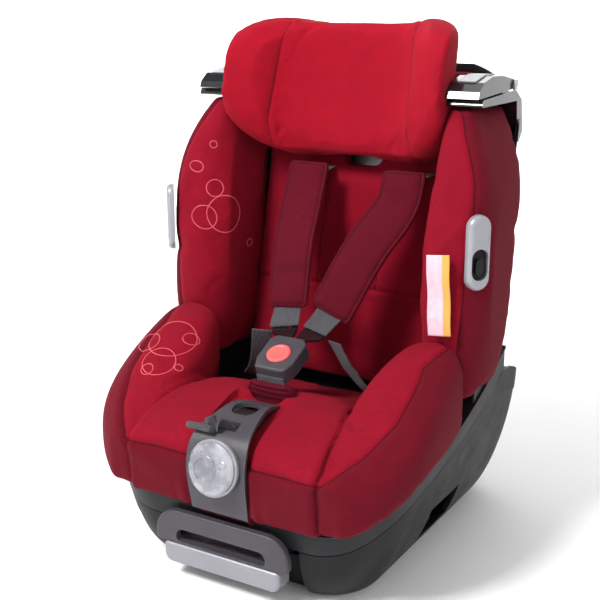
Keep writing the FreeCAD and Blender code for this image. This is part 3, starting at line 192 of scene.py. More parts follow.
def moulded_plastic(name, colour, roughness, grain=0.00012, grain_scale=1800, wear=0.12, **constants):
    """Moulded plastic: fine spark-eroded grain, faint cloudiness and rubbed, lighter edges."""
    n = Nodes(name, roughness, **constants)
    cloud = n.spread(n.noise(14, 3), 0.3, 0.7, 0.92, 1.08)
    edge = n.add("ShaderNodeNewGeometry").outputs["Pointiness"]
    rubbed = n.spread(edge, 0.52, 0.6, 0, wear)
    rubbed = n.maths("MULTIPLY", rubbed, n.spread(n.noise(60, 4), 0.4, 0.65, 0.2, 1))
    lighter = tuple(min(1, c * 2.2 + 0.02) for c in colour[:3]) + (1.0,)
    base = n.scaled(n.mix(rubbed, colour, lighter), cloud)
    gloss = n.spread(n.noise(30, 4), 0.3, 0.7, roughness - 0.05, roughness + 0.07)
    return n.finish(base, n.bump(n.noise(grain_scale, 2), grain), gloss)


def frosted_cover():
    """The knob's cover: frosted silver seen through a clear shell, with soft swirls from moulding."""
    n = Nodes("frosted_cover", 0.26, Coat_Weight=0.6, Coat_Roughness=0.08, Metallic=0.25)
    swirl = n.noise(38, 4, 0.6)
    colour = n.mix(n.spread(swirl, 0.35, 0.65, 0, 1), linear(112, 112, 119), linear(164, 164, 172))
    return n.finish(colour, n.bump(swirl, 0.0006), n.spread(swirl, 0.35, 0.65, 0.2, 0.36))


def brushed_metal(name, colour, roughness):
    n = Nodes(name, roughness, Metallic=1.0)
    stretched = n.vectors("MULTIPLY", n.place(), (40.0, 900.0, 900.0))
    scratch = n.noise(1.0, 3, 0.6, stretched)
    tone = n.spread(scratch, 0.3, 0.7, 0.88, 1.06)
    return n.finish(n.scaled(colour, tone), n.bump(scratch, 0.00004),
                    n.spread(scratch, 0.3, 0.7, roughness - 0.06, roughness + 0.08))


def satin_paint(name, colour, roughness=0.38):
    """Painted or metallised trim with a very fine sparkle."""
    n = Nodes(name, roughness, Metallic=0.35, Coat_Weight=0.15, Coat_Roughness=0.3)
    flakes = n.noise(3500, 1)
    cloud = n.spread(n.noise(20, 3), 0.3, 0.7, 0.95, 1.04)
    tone = n.maths("MULTIPLY", n.spread(flakes, 0.3, 0.7, 0.93, 1.07), cloud)
    return n.finish(n.scaled(colour, tone), n.bump(flakes, 0.00003))


def rubber():
    n = Nodes("rubber_foot", 0.85, Specular_IOR_Level=0.3)
    dust = n.spread(n.noise(120, 4), 0.45, 0.75, 0, 0.35)
    return n.finish(n.mix(dust, linear(30, 30, 31), linear(74, 72, 70)), n.bump(n.noise(900, 3), 0.0002))


def printed_tape():
    """The blank tag: soft white tape with a pink cast and a yellow band along one edge."""
    n = Nodes("tag_tape", 0.6, Sheen_Weight=0.1)
    flat = n.add("ShaderNodeTexCoord").outputs["UV"]
    across = n.add("ShaderNodeSeparateXYZ", {"Vector": flat}).outputs["Y"]
    cloud = n.noise(130, 3)
    body = n.mix(n.spread(cloud, 0.3, 0.7, 0, 1), linear(214, 172, 188), linear(220, 192, 202))
    band = n.spread(across, 0.0190, 0.0194, 0, 1)
    return n.finish(n.mix(band, body, linear(226, 158, 70)), n.bump(weave(n, 0.0009), 0.00008))


def thread():
    n = Nodes("pink_thread", 0.5, Sheen_Weight=0.4, Specular_IOR_Level=0.5)
    tone = n.spread(n.noise(1500, 2), 0.3, 0.7, 0.8, 1.15)
    return n.finish(n.scaled(linear(205, 68, 84), tone), n.bump(n.noise(1500, 2), 0.0002))


RED = linear(132, 3, 29)
WINE = linear(98, 2, 23)
seat_fabric = knitted_fabric("seat_fabric", RED, WINE)
headrest_fabric = knitted_fabric("headrest_fabric", linear(158, 5, 31), linear(158, 5, 31), 0.0009, 0.15)
sleeve_fabric = knitted_fabric("sleeve_fabric", linear(86, 3, 24), linear(86, 3, 24), 0.0011, 0.05)
webbing = ribbed_webbing()
base_plastic = moulded_plastic("base_plastic", linear(15, 15, 17), 0.5, Specular_IOR_Level=0.25)
rim_plastic = moulded_plastic("rim_plastic", linear(24, 23, 27), 0.48, Specular_IOR_Level=0.3)
trim_plastic = moulded_plastic("trim_plastic", linear(62, 59, 65), 0.42, Specular_IOR_Level=0.35)
gloss_plastic = moulded_plastic("gloss_plastic", linear(20, 19, 22), 0.12, grain=0.00001, wear=0.04,
                                Coat_Weight=0.5, Coat_Roughness=0.05)
red_plastic = moulded_plastic("red_plastic", linear(190, 20, 40), 0.3)
button_plastic = moulded_plastic("button_plastic", linear(250, 96, 92), 0.38, wear=0.05)
thread_pink = thread()
MATERIALS = {
    "base_black": base_plastic,
    "rim_grey": rim_plastic,
    "trim_grey": trim_plastic,
    "gloss_black": gloss_plastic,
    "grip_silver": satin_paint("grip_silver", linear(140, 139, 146)),
    "plate_silver": satin_paint("plate_silver", linear(150, 151, 157)),
    "clear_dome": frosted_cover(),
    "red_plastic": red_plastic,
    "button_red": button_plastic,
    "steel": brushed_metal("zinc_steel", linear(170, 170, 172), 0.35),
    "red_fabric": seat_fabric,
    "wine_fabric": sleeve_fabric,
    "bright_fabric": headrest_fabric,
    "webbing": webbing,
    "foot_rubber": rubber(),
    "label": printed_tape(),
}
slot_of = {part["node"]: part["material_slot"] for part in frame["record"]["subparts"]}
for name, obj in frame["nodes"].items():
    obj.data.materials.clear()
    obj.data.materials.append(MATERIALS[slot_of[name]])


# ---------------------------------------------------------------------------------------------
# Mesh helpers
# ---------------------------------------------------------------------------------------------
def new_object(name, mesh, body, slot):
    """A piece that rides on a body and takes its finish from a slot."""
    obj = bpy.data.objects.new(name, mesh)
    scene.collection.objects.link(obj)
    for face in mesh.polygons:
        face.use_smooth = True
    mesh.materials.clear()
    mesh.materials.append(MATERIALS[slot])
    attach(obj, body)
    return obj


def points_of(mesh):
    flat = np.empty(len(mesh.vertices) * 3)
    mesh.vertices.foreach_get("co", flat)
    return flat.reshape(-1, 3)


def normals_of(mesh):
    flat = np.empty(len(mesh.vertices) * 3)
    mesh.vertex_normals.foreach_get("vector", flat)
    return flat.reshape(-1, 3)


def move_points(mesh, points):
    mesh.vertices.foreach_set("co", points.astype(np.float32).ravel())
    mesh.update()


def applied(obj):
    """Replaces the object's mesh by what its modifiers make of it."""
    bpy.context.view_layer.update()
    made = bpy.data.meshes.new_from_object(obj.evaluated_get(bpy.context.evaluated_depsgraph_get()))
    obj.modifiers.clear()
    obj.data = made
    return obj


def remeshed(obj, voxel):
    modifier = obj.modifiers.new("remesh", "REMESH")
    modifier.mode = "VOXEL"
    modifier.voxel_size = voxel
    return applied(obj)


def smoothed(obj, rounds):
    modifier = obj.modifiers.new("smooth", "SMOOTH")
    modifier.factor = 0.5
    modifier.iterations = rounds
    return applied(obj)


def subdivided(obj):
    modifier = obj.modifiers.new("subdivide", "SUBSURF")
    modifier.levels = 1
    modifier.render_levels = 1
    return applied(obj)


def inflated(obj, cap, pressure=4.0):
    """Swells a closed mesh by air pressure, as stuffing does, and lets no point move further than cap."""
    rest = points_of(obj.data)
    cloth = obj.modifiers.new("inflate", "CLOTH")
    cloth.settings.quality = 5
    cloth.settings.mass = 0.3
    cloth.settings.use_pressure = True
    cloth.settings.uniform_pressure_force = pressure
    cloth.settings.effector_weights.gravity = 0
    cloth.point_cache.frame_start = 1
    cloth.point_cache.frame_end = 20
    for step in range(1, 21):
        scene.frame_set(step)
    applied(obj)
    scene.frame_set(1)
    moved = points_of(obj.data) - rest
    length = np.linalg.norm(moved, axis=1, keepdims=True)
    moved *= np.minimum(1.0, cap / np.maximum(length, 1e-9))
    move_points(obj.data, rest + moved)
    return obj


def set_attribute(mesh, name, values):
    layer = mesh.attributes.get(name) or mesh.attributes.new(name, "FLOAT", "POINT")
    layer.data.foreach_set("value", values.astype(np.float32))


def sew(obj, seams, panel=None):
    """Pulls a groove along each seam, puckers the cloth beside it, and stores the distances.

    seams is a list of (signed distance, run along the seam, depth), each in millimetres per point.
    panel is the signed distance that tells the outer panel from the inner one."""
    points, normals = points_of(obj.data), normals_of(obj.data)
    lift = np.zeros(len(points))
    for distance, run, depth in seams:
        away = np.abs(distance)
        lift -= depth * np.exp(-(away / 2.6) ** 2)
        lift += depth * 0.3 * np.exp(-((away - 9) / 5.5) ** 2)
        pucker = np.sin(run * 0.62 + 1.7 * np.sin(run * 0.11)) * np.exp(-away / 8)
        lift += depth * 0.1 * pucker * (away > 1)
    move_points(obj.data, points + normals * lift[:, None] * MM)
    nearest = np.full(len(points), -40.0)
    for distance, run, depth in seams:
        nearest = np.where(np.abs(distance) < np.abs(nearest), -np.abs(distance), nearest)
    if panel is not None:
        nearest = np.where(panel > 0, np.abs(nearest), nearest)
    # the fabric paints shade along each seam groove from this distance
    set_attribute(obj.data, "seam", nearest)


def fold(obj, heights, strength):
    """Adds soft lying folds: heights gives a wave per point, strength its size in millimetres."""
    points, normals = points_of(obj.data), normals_of(obj.data)
    move_points(obj.data, points + normals * (heights * strength)[:, None] * MM)


def in_mm(obj):
    """x, y and z of every point of a piece, in millimetres."""
    return (points_of(obj.data) / MM).T


def pad_from(node, name, body, slot, voxel, rounds, cap, stretch=(1, 1, 1)):
    """A stuffed pad in the place of a CAD solid: rounded, then blown up a little."""
    obj = new_object(name, frame["nodes"][node].data.copy(), body, slot)
    move_points(obj.data, points_of(obj.data) * stretch)
    remeshed(obj, voxel)
    smoothed(obj, rounds)
    inflated(obj, cap)
    subdivided(obj)
    smoothed(obj, 2)
    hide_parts(node)
    return obj


def joined(name, nodes, body, slot, grow):
    """One mesh of several CAD solids, each grown a little so that they meet."""
    points, faces = [], []
    for node in nodes:
        solid = new_object(node + "_grown", frame["nodes"][node].data.copy(), body, slot)
        solid.modifiers.new("weld", "WELD").merge_threshold = 0.01 * MM
        applied(solid)
        first = len(points)
        points += (points_of(solid.data) + normals_of(solid.data) * grow).tolist()
        faces += [tuple(first + v for v in face.vertices) for face in solid.data.polygons]
        bpy.data.objects.remove(solid)
    mesh = bpy.data.meshes.new(name)
    mesh.from_pydata(points, [], faces)
    return new_object(name, mesh, body, slot)


def mirrored_pad(obj, node, name, body, slot):
    """The pad on the other side."""
    mesh = obj.data.copy()
    move_points(mesh, points_of(mesh) * (-1, 1, 1))
    mesh.flip_normals()
    twin = new_object(name, mesh, body, slot)
    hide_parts(node)
    return twin


# ---------------------------------------------------------------------------------------------
# Seat, back and side pads
# ---------------------------------------------------------------------------------------------
def along(values, table, column):
    """Reads a column of a table of rows at each value of its first column."""
    rows = sorted(table)
    return np.interp(values, [row[0] for row in rows], [row[column] for row in rows])


# y, then x of the seam between the middle of the seat and the roll beside each thigh
CUSHION_EDGE = [(-300, 130), (-270, 129), (-224, 121), (-190, 112), (-165, 106), (0, 106)]
# y, then x and z of the seam between the top of a thigh roll and its outer band
ROLL_SEAM = [(-291, 132, 166), (-251, 150, 175), (-209, 165, 199), (-166, 180, 241), (-137, 190, 273),
             (-90, 198, 283)]


def make_seat_cover():
    """The cover of the seat: the middle, its apron and both thigh rolls are sewn into one."""
    cover = joined("seat_cover", ["seat_cushion", "thigh_bolster_left", "thigh_bolster_right"], "seat",
                   "red_fabric", 0.0016)
    remeshed(cover, 0.005)
    smoothed(cover, 7)
    inflated(cover, 0.006)
    subdivided(cover)
    smoothed(cover, 2)
    x, y, z = in_mm(cover)
    # the floor of the trim's channel stays clear of the adjuster button when it is pressed
    sunk = 9 * np.clip((40 - np.abs(x)) / 3, 0, 1) * np.clip((-182 - y) / 6, 0, 1)
    move_points(cover.data, np.stack([x, y, z - sunk], axis=1) * MM)
    x, y, z = in_mm(cover)
    side = np.abs(x)
    off_edge = side - along(y, CUSHION_EDGE, 1)
    apron = np.where((y < -258) & (off_edge < 0), 163 + 3 * (side / 130) ** 2 - z, -60)
    band = 0.75 * (side - along(y, ROLL_SEAM, 1)) - 0.66 * (z - along(y, ROLL_SEAM, 2))
    band = np.where(off_edge > 0, band, -60)
    sew(cover, [(apron, x, 2.2), (off_edge, y + z, 3.2), (band, y, 2.2)], np.maximum(apron, band))
    x, y, z = in_mm(cover)
    side = np.abs(x)
    gathers = np.exp(-((side - 44) / 22) ** 2) * (y < -240) * np.exp(-((z - 104) / 26) ** 2)
    fold(cover, np.sin(x / 3.2 + 0.04 * z) * gathers, 1.3)
    dip = np.exp(-((side - 62) / 30) ** 2) * np.exp(-((y + 226) / 18) ** 2) * (z > 170)
    fold(cover, np.sin((y + 0.5 * side) / 9) * dip, 0.8)
    inner = np.exp(-((side - 150) / 26) ** 2) * np.exp(-((y + 205) / 26) ** 2)
    fold(cover, np.sin((y + 0.7 * side) / 8.5 + np.sin(side / 15)) * inner, 1.1)
    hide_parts("seat_cushion", "thigh_bolster_left", "thigh_bolster_right")
    return cover


def make_back_cushion():
    cushion = pad_from("back_cushion", "back_pad", "seat", "red_fabric", 0.0055, 6, 0.007, (1.065, 1, 1))
    x, y, z = in_mm(cushion)
    centre = np.where(y < 60, np.abs(x) - 44, 60)
    cross = np.where(np.abs(x) < 150, z - 302, 60)
    sew(cushion, [(np.where(z > 302, centre, 60), z, 2.0), (cross, x, 2.4)])
    x, y, z = in_mm(cushion)
    fold(cushion, np.sin(z / 10 + 1.4 * np.sin(x / 37)) * np.exp(-((z - 262) / 34) ** 2), 0.9)


# z, then x and y of the seam down the front of a wing
WING_SEAM = [(205, 197, -80), (282, 198, -79), (357, 203, -75), (464, 207, -62), (517, 184, -43),
             (560, 170, -20)]


def make_wings():
    left = pad_from("wing_pad_left", "wing_left", "seat", "red_fabric", 0.005, 8, 0.006)
    x, y, z = in_mm(left)
    # the inner side reaches back past the face of the back pad, so no gap shows between them
    face = 0.2 * (z - 172) - 6
    reach = 18 * np.clip((182 - x) / 30, 0, 1) * np.clip((y - face + 20) / 30, 0, 1)
    move_points(left.data, np.stack([x, y + reach, z], axis=1) * MM)
    x, y, z = in_mm(left)
    seam_x, seam_y = along(z, WING_SEAM, 1), along(z, WING_SEAM, 2)
    band = np.minimum(0.7 * (x - seam_x) + 0.7 * (y - seam_y), x - seam_x + 14)
    sew(left, [(band, z, 1.8)], band)
    x, y, z = in_mm(left)
    inner = np.clip((190 - x) / 30, 0, 1)
    creases = np.sin(z / 11 + 0.03 * y + 1.2 * np.sin(y / 19)) * np.exp(-((z - 318) / 46) ** 2)
    slant = np.sin((z + 0.8 * y) / 9) * np.exp(-((z - 455) / 30) ** 2) * np.exp(-((y + 60) / 26) ** 2)
    fold(left, (creases + 0.7 * slant) * inner, 1.0)
    right = mirrored_pad(left, "wing_pad_right", "wing_right", "seat", "red_fabric")
    return right


def make_headrest():
    pad = pad_from("headrest_pad", "headrest_cushion", "headrest", "bright_fabric", 0.005, 8, 0.007)
    x, y, z = in_mm(pad)
    crease = np.where(y < 20 + (z - 461) * 0.2, np.abs(x) - 96 + (z - 550) * 0.06, 60)
    sew(pad, [(crease, z, 1.0)])


# ---------------------------------------------------------------------------------------------
# Straps and the padded sleeves over them
# ---------------------------------------------------------------------------------------------
def smooth_path(points, across, count):
    """Evenly spaced points on a smooth line through the given ones, with the way across at each."""
    given = np.array(points, float)
    sides = np.array(across if isinstance(across, list) else [across] * len(points), float)
    knots = np.concatenate([[0], np.cumsum(np.linalg.norm(np.diff(given, axis=0), axis=1))])
    at = np.linspace(0, knots[-1], count)
    slopes = np.gradient(given, knots, axis=0)
    index = np.clip(np.searchsorted(knots, at, side="right") - 1, 0, len(points) - 2)
    span = (knots[index + 1] - knots[index])[:, None]
    t = ((at - knots[index]) / span[:, 0])[:, None]
    line = ((2 * t ** 3 - 3 * t ** 2 + 1) * given[index] + (t ** 3 - 2 * t ** 2 + t) * span * slopes[index]
            + (3 * t ** 2 - 2 * t ** 3) * given[index + 1] + (t ** 3 - t ** 2) * span * slopes[index + 1])
    side = np.stack([np.interp(at, knots, sides[:, k]) for k in range(3)], axis=1)
    return line, side, at


def loft(name, rings, uvs, body, slot, closed_ends=True):
    """A tube through closed rings of points in millimetres, with a UV per point."""
    count, around = rings.shape[:2]
    faces = []
    for i in range(count - 1):
        for j in range(around):
            k = (j + 1) % around
            faces.append((i * around + j, i * around + k, (i + 1) * around + k, (i + 1) * around + j))
    if closed_ends:
        faces.append(tuple(reversed(range(around))))
        faces.append(tuple((count - 1) * around + j for j in range(around)))
    mesh = bpy.data.meshes.new(name)
    mesh.from_pydata((rings.reshape(-1, 3) * MM).tolist(), [], faces)
    layer = mesh.uv_layers.new(name="UVMap")
    flat = uvs.reshape(-1, 2)
    corners = np.array([loop.vertex_index for loop in mesh.loops])
    layer.data.foreach_set("uv", flat[corners].astype(np.float32).ravel())
    mesh.update()
    return new_object(name, mesh, body, slot)


def band_rings(path, side, run, half_width, profile, lift=0.0):
    """Rings round a flat band: profile gives (share across, half thickness) from one edge to the other."""
    ahead = np.gradient(path, axis=0)
    ahead /= np.linalg.norm(ahead, axis=1, keepdims=True)
    side = side - ahead * (side * ahead).sum(1, keepdims=True)
    side /= np.linalg.norm(side, axis=1, keepdims=True)
    out = np.cross(side, ahead)
    rings, uvs = [], []
    for i, centre in enumerate(path):
        half = half_width[i] if hasattr(half_width, "__len__") else half_width
        upper = [centre + side[i] * u * half + out[i] * (t + lift) for u, t in profile]
        lower = [centre + side[i] * u * half + out[i] * (lift - t) for u, t in reversed(profile)]
        rings.append(upper + lower)
        across = [u * half * MM for u, t in profile]
        uvs.append([(run[i] * MM, v) for v in across + across[::-1]])
    return np.array(rings), np.array(uvs), out


def make_strap(name, points, across, width, body="seat", thickness=1.6, count=60):
    path, side, run = smooth_path(points, across, count)
    edge = thickness / 2
    shares = [-1, -0.985, -0.93, -0.86, -0.6, -0.3, 0, 0.3, 0.6, 0.86, 0.93, 0.985, 1]
    profile = []
    for u in shares:
        fullness = 0.35 if abs(u) == 1 else 0.85 if abs(u) > 0.95 else 1.15 if abs(u) > 0.9 else 1.0
        profile.append((u, edge * fullness))
    rings, uvs, _ = band_rings(path, side, run, width / 2, profile)
    return loft(name, rings, uvs, body, "webbing")


def make_sleeve(name, points, across, widths, thickness, wrinkles, body="seat", count=90):
    """A padded sleeve: thin piped edges, a stitched channel just inside them, and soft cross folds."""
    path, side, run = smooth_path(points, across, count)
    length = run[-1]
    half_width = np.interp(run, np.linspace(0, length, len(widths)), widths) / 2
    ends = np.clip(np.minimum(run, length - run) / (thickness * 0.55), 0, 1)
    half_width = half_width - 5 * (1 - np.sqrt(1 - (1 - ends) ** 2))
    shares = np.sin(np.linspace(-math.pi / 2, math.pi / 2, 33))
    profile = []
    for u in shares:
        inset = (1 - abs(u)) * half_width.mean()
        body_half = thickness / 2 * (1 - abs(u) ** 3.2) ** 0.62
        piping = 1.5 * math.exp(-((inset - 1.2) / 1.3) ** 2)
        channel = 1.2 * math.exp(-((inset - 4.6) / 1.3) ** 2)
        profile.append((u, max(0.5, body_half + piping - channel)))
    rings, uvs, out = band_rings(path, side, run, half_width, profile)
    count_across = len(profile)
    swell = 0.25 + 0.75 * np.sqrt(1 - (1 - ends) ** 2)
    channel = np.exp(-((np.minimum(run, length - run) - 5.2) / 1.4) ** 2)
    for i in range(count):
        for j in range(2 * count_across):
            u = profile[j if j < count_across else 2 * count_across - 1 - j][0]
            centre = path[i] + side_point(rings[i], count_across, j)
            offset = rings[i, j] - centre
            rings[i, j] = centre + offset * swell[i] * (1 - 0.22 * channel[i])
            inside = max(0.0, 1 - abs(u) ** 4)
            wave = sum(size * math.exp(-((run[i] - at * length + slant * u * 8) / wide) ** 2)
                       for at, wide, size, slant in wrinkles)
            if j < count_across:
                rings[i, j] += out[i] * wave * inside
    sleeve = loft(name, rings, uvs, body, "wine_fabric")
    around = np.array([u for u, t in profile + profile[::-1]])
    inset = (1 - np.abs(around)) * half_width.mean()
    to_edge = np.minimum(inset[None, :], np.minimum(run, length - run)[:, None] + 0.4)
    # the fabric paints shade along the stitched channel from this distance
    set_attribute(sleeve.data, "seam", (-np.abs(to_edge - 4.8) - 0.15).ravel())
    return sleeve


def side_point(ring, count_across, j):
    """The middle between a ring's upper and lower point, relative to the ring's centre."""
    twin = 2 * count_across - 1 - j
    return (ring[j] + ring[twin]) / 2 - ring.mean(0)


BUCKLE = np.array((0, -147, 250), float)
BUCKLE_TILT = math.radians(26)


def from_buckle(x, y, z):
    """A point given in the buckle's own frame, whose Y runs towards the tongues."""
    c, s = math.cos(BUCKLE_TILT), math.sin(BUCKLE_TILT)
    return tuple(BUCKLE + (x, y * c - z * s, y * s + z * c))


# sideways place of the top of each shoulder strap and how far forward it lies
STRAP_TOPS = {"left": (1, 92, -12), "right": (-1, -52, 4)}


def make_shoulder(side):
    sign, top_x, top_y = STRAP_TOPS[side]
    path = [from_buckle(22 * sign, 47.5, 4.2), (30 * sign, -84, 292), ((30 * sign + top_x) / 2, -50, 370),
            (top_x, top_y - 8, 432), (top_x, top_y + 14, 450), (top_x, 46, 455)]
    across = [(1, 0.1 * sign, 0.12 * sign), (1, 0.1 * sign, 0), (1, 0.1 * sign, 0)] + [(1, 0, 0)] * 3
    strap = make_strap(f"shoulder_web_{side}", path, across, 38, count=110)
    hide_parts(f"shoulder_strap_{side}")
    wrinkles = [(0.22, 5, -1.1, 0.4), (0.3, 6, 0.9, 0.4), (0.62, 9, -0.7, -0.3)] if side == "right" else \
        [(0.14, 7, -0.7, 0.3), (0.8, 9, -0.9, -0.5), (0.9, 8, 0.8, -0.5)]
    middle = path[1:4] + [(top_x, top_y + 6, 464)]
    sleeve = make_sleeve(f"shoulder_sleeve_{side}", middle, across[1:5], [59, 60, 60, 58], 13, wrinkles)
    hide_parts(f"shoulder_pad_{side}")


def make_lap(side):
    sign = 1 if side == "left" else -1
    path = [from_buckle(52 * sign, 40, -2), (66 * sign, -92, 226), (84 * sign, -74, 196),
            (103 * sign, -54, 182)]
    across = [(0.5 * sign, -0.6, 0.6), (0.45 * sign, -0.6, 0.6), (0.4 * sign, -0.7, 0.5),
              (0.4 * sign, -0.8, 0.35)]
    strap = make_strap(f"lap_web_{side}", path, across, 26)
    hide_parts(f"lap_strap_{side}")


def make_crotch():
    path = [(0, -160, 120), (0, -164, 178), (0, -170, 219), from_buckle(0, -32.5, -4)]
    strap = make_strap("crotch_web", path, (1, 0, 0), 38)
    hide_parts("crotch_strap")
    wrinkles = [(0.42, 3.5, -1.6, 0.0), (0.66, 3.0, -1.2, 0.1)]
    sleeve = make_sleeve("crotch_sleeve", [(0, -165, 190), (0, -168, 206), (0, -172, 224)], (1, 0, 0),
                         [72, 72, 66, 60], 17, wrinkles, count=50)
    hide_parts("crotch_pad")


def make_adjuster_strap():
    path = [(2, -257, 170), (1, -261, 186), (-2, -265, 199), (-8, -271, 204), (-18, -278, 201)]
    strap = make_strap("pull_strap", path, (0.85, 0.5, 0), 20, thickness=2)
    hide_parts("adjuster_strap")
    angle = np.linspace(0, 2 * math.pi, 25)[:-1]
    along_x = np.linspace(-44, -10, 18)
    ends = np.clip(np.minimum(along_x + 44, -10 - along_x) / 1.2 + 0.8, 0, 1)
    rings = np.array([[(x, -281 + 4 * e * math.cos(a), 199.5 + 4 * e * math.sin(a)) for a in angle]
                      for x, e in zip(along_x, ends)])
    uvs = np.array([[(x * MM, a * 4 * MM) for a in angle] for x in along_x])
    loft("pull_strap_end", rings, uvs, "seat", "webbing")


# ---------------------------------------------------------------------------------------------
# Embroidery, tag and knob details
# ---------------------------------------------------------------------------------------------
def make_embroidery(name, pad, rings, start, aim):
    """Thin stitched rings laid on a pad. rings holds (centre, radius) in the plane that faces aim."""
    tree = BVHTree.FromObject(pad, bpy.context.evaluated_depsgraph_get())
    aim = Vector(aim).normalized()
    level = Vector((0, 0, 1)).cross(aim).normalized()
    steep = aim.cross(level)
    points, faces = [], []
    for centre, radius in rings:
        centre = Vector(centre) * MM
        count = max(24, int(radius * 2 * math.pi / 1.1))
        first = len(points)
        hits = []
        for i in range(count):
            turn = 2 * math.pi * i / count
            begin = centre + (level * math.cos(turn) + steep * math.sin(turn)) * radius * MM - aim * start
            place, normal, _, _ = tree.ray_cast(begin, aim)
            hits.append((place, normal))
        for i, (place, normal) in enumerate(hits):
            ahead = (hits[(i + 1) % count][0] - hits[i - 1][0]).normalized()
            aside = normal.cross(ahead).normalized()
            wide = (0.62 if i % 2 else 0.5) * MM
            for k in range(6):
                turn = math.pi * k / 3
                points.append(place + aside * math.cos(turn) * wide + normal * math.sin(turn) * 0.45 * MM)
        for i in range(count):
            for k in range(6):
                a, b = first + i * 6, first + (i + 1) % count * 6
                faces.append((a + k, b + k, b + (k + 1) % 6, a + (k + 1) % 6))
    mesh = bpy.data.meshes.new(name)
    mesh.from_pydata([tuple(p) for p in points], [], faces)
    obj = new_object(name, mesh, "seat", "red_fabric")
    mesh.materials.clear()
    mesh.materials.append(thread_pink)
    return obj


def make_tag():
    """A blank sewn-in tag that hangs with a soft wave."""
    width, length = 28.0, 96.0
    columns, rows = 14, 48
    points, uvs = [], []
    for i in range(rows + 1):
        t = i / rows
        for j in range(columns + 1):
            s = j / columns
            wave = 1.6 * math.sin(t * 9 + 1.2 * s) * math.sin(math.pi * t) + 2.2 * s * (1 - s)
            x = 183 - 7 * t + (s - 0.5) * width * 0.985
            y = -96 + 4 * t ** 1.6 - wave + (s - 0.5) * 2
            z = 291 + length * t * 0.985 + (s - 0.5) * 2.4
            points.append((x * MM, y * MM, z * MM))
            uvs.append((t * length * MM, s * width * MM))
    faces = [(i * (columns + 1) + j, i * (columns + 1) + j + 1, (i + 1) * (columns + 1) + j + 1,
              (i + 1) * (columns + 1) + j) for i in range(rows) for j in range(columns)]
    mesh = bpy.data.meshes.new("blank_tag")
    mesh.from_pydata(points, [], faces)
    layer = mesh.uv_layers.new(name="UVMap")
    corners = [loop.vertex_index for loop in mesh.loops]
    layer.data.foreach_set("uv", np.array([uvs[c] for c in corners], np.float32).ravel())
    tag = new_object("blank_tag", mesh, "seat", "label")
    solid = tag.modifiers.new("thickness", "SOLIDIFY")
    solid.thickness = 0.4 * MM
    applied(tag)
    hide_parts("care_label")


KNOB = np.array((0, -291, 159), float)
KNOB_TILT = math.radians(12)


def on_knob(x, up, out):
    """A point on the knob: x sideways, up across its face and out along its axis."""
    c, s = math.cos(KNOB_TILT), math.sin(KNOB_TILT)
    return KNOB + (x, -out * c + up * s, out * s + up * c)


def make_knob_details():
    """The raised ring and the small thumb boss on the knob's cover."""
    turns = np.linspace(0, 2 * math.pi, 65)[:-1]
    rings = []
    for a in turns:
        ring = []
        for b in np.linspace(0, 2 * math.pi, 13)[:-1]:
            r = 14.5 + 1.3 * math.cos(b)
            ring.append(on_knob(-6 + r * math.cos(a), -1 + r * math.sin(a), 12.7 + 0.9 * math.sin(b)))
        rings.append(ring)
    rings = np.array(rings + rings[:1])
    uvs = np.zeros(rings.shape[:2] + (2,))
    loft("knob_ring", rings, uvs, "mode_knob", "clear_dome", closed_ends=False)
    rings = []
    for share in np.linspace(0, 0.98, 9):
        r = 5.2 * math.cos(share * math.pi / 2)
        out = 11.6 + 2.4 * math.sin(share * math.pi / 2)
        rings.append([on_knob(17 + r * math.cos(a), 8 + r * math.sin(a), out) for a in turns[::2]])
    rings = np.array(rings)
    loft("knob_boss", rings, np.zeros(rings.shape[:2] + (2,)), "mode_knob", "clear_dome")


cover = make_seat_cover()
make_back_cushion()
wing = make_wings()
make_headrest()
for side in STRAP_TOPS:
    make_shoulder(side)
    make_lap(side)
make_crotch()
make_adjuster_strap()
make_tag()
make_knob_details()
make_embroidery("wing_rings", wing, [
    ((-146, -52, 396), 24), ((-148, -84, 393), 15), ((-146, -66, 430), 11), ((-150, -88, 458), 7),
    ((-148, -62, 486), 4.5), ((-146, 0, 350), 5),
], 0.05, (-0.8, 0.6, 0))
make_embroidery("roll_rings", cover, [
    ((-156, -170, 262), 30), ((-184, -176, 250), 15), ((-152, -200, 238), 21), ((-160, -213, 230), 8),
    ((-134, -164, 268), 9), ((-126, -200, 240), 4.5),
], 0.08, (0, 0.64, -0.77))


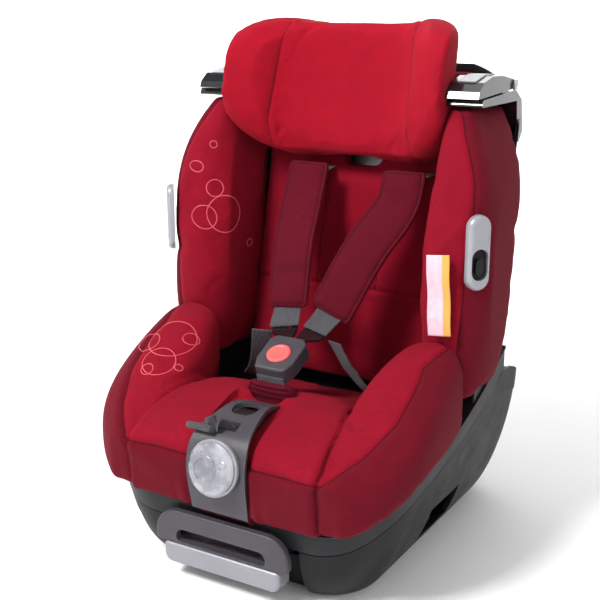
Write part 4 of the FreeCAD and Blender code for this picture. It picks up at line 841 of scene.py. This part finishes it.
# ---------------------------------------------------------------------------------------------
# Camera, floor and light
# ---------------------------------------------------------------------------------------------
def make_camera():
    camera = bpy.data.objects.new("camera", bpy.data.cameras.new("camera"))
    scene.collection.objects.link(camera)
    azimuth, pitch = math.radians(30.7), math.radians(15.3)
    level = math.cos(pitch)
    ahead = Vector((-math.sin(azimuth) * level, math.cos(azimuth) * level, -math.sin(pitch)))
    camera.location = (0.652, -1.202, 0.660)
    camera.rotation_mode = "QUATERNION"
    camera.rotation_quaternion = ahead.to_track_quat("-Z", "Y")
    camera.data.lens = 64.5
    camera.data.sensor_width = 36
    scene.camera = camera


def make_floor():
    """A pale floor that rises into a backdrop on every side."""
    profile = [(0, 0.0), (2.6, 0.0), (3.2, 0.06), (3.7, 0.3), (4.0, 0.8), (4.1, 1.6), (4.15, 4.5)]
    count = 48
    points = [(r * math.cos(2 * math.pi * k / count), r * math.sin(2 * math.pi * k / count), z)
              for r, z in profile[1:] for k in range(count)]
    faces = [tuple(range(count))]
    for i in range(len(profile) - 2):
        for k in range(count):
            a, b = i * count + k, i * count + (k + 1) % count
            faces.append((a, a + count, b + count, b))
    mesh = bpy.data.meshes.new("floor")
    mesh.from_pydata(points, [], faces)
    for face in mesh.polygons:
        face.use_smooth = True
    floor = bpy.data.objects.new("floor", mesh)
    scene.collection.objects.link(floor)
    n = Nodes("studio_paper", 0.9, Specular_IOR_Level=0.1)
    tone = n.spread(n.noise(6, 2), 0.3, 0.7, 0.985, 1.0)
    mesh.materials.append(n.finish(n.scaled(linear(250, 250, 250), tone)))


def make_light(name, place, aim, size, power):
    light = bpy.data.lights.new(name, "AREA")
    light.shape = "DISK"
    light.size = size
    light.energy = power
    obj = bpy.data.objects.new(name, light)
    obj.location = place
    obj.rotation_mode = "QUATERNION"
    obj.rotation_quaternion = (Vector(aim) - Vector(place)).to_track_quat("-Z", "Y")
    scene.collection.objects.link(obj)


make_camera()
make_floor()
make_light("key", (-0.7, -1.8, 2.2), (0, -0.1, 0.3), 0.8, 84)
make_light("fill", (2.2, -1.6, 1.6), (0, 0, 0.3), 1.6, 9)
make_light("backdrop", (-0.9, 1.7, 2.6), (-2.2, 3.6, 0.7), 1.6, 110)
make_light("top", (0.2, 0.3, 3.2), (0, 0, 0), 2.4, 24)
world = bpy.data.worlds.new("studio")
world.use_nodes = True
world.node_tree.nodes["Background"].inputs["Color"].default_value = (1, 1, 1, 1)
world.node_tree.nodes["Background"].inputs["Strength"].default_value = 0.2
scene.world = world
scene.view_settings.view_transform = "Standard"
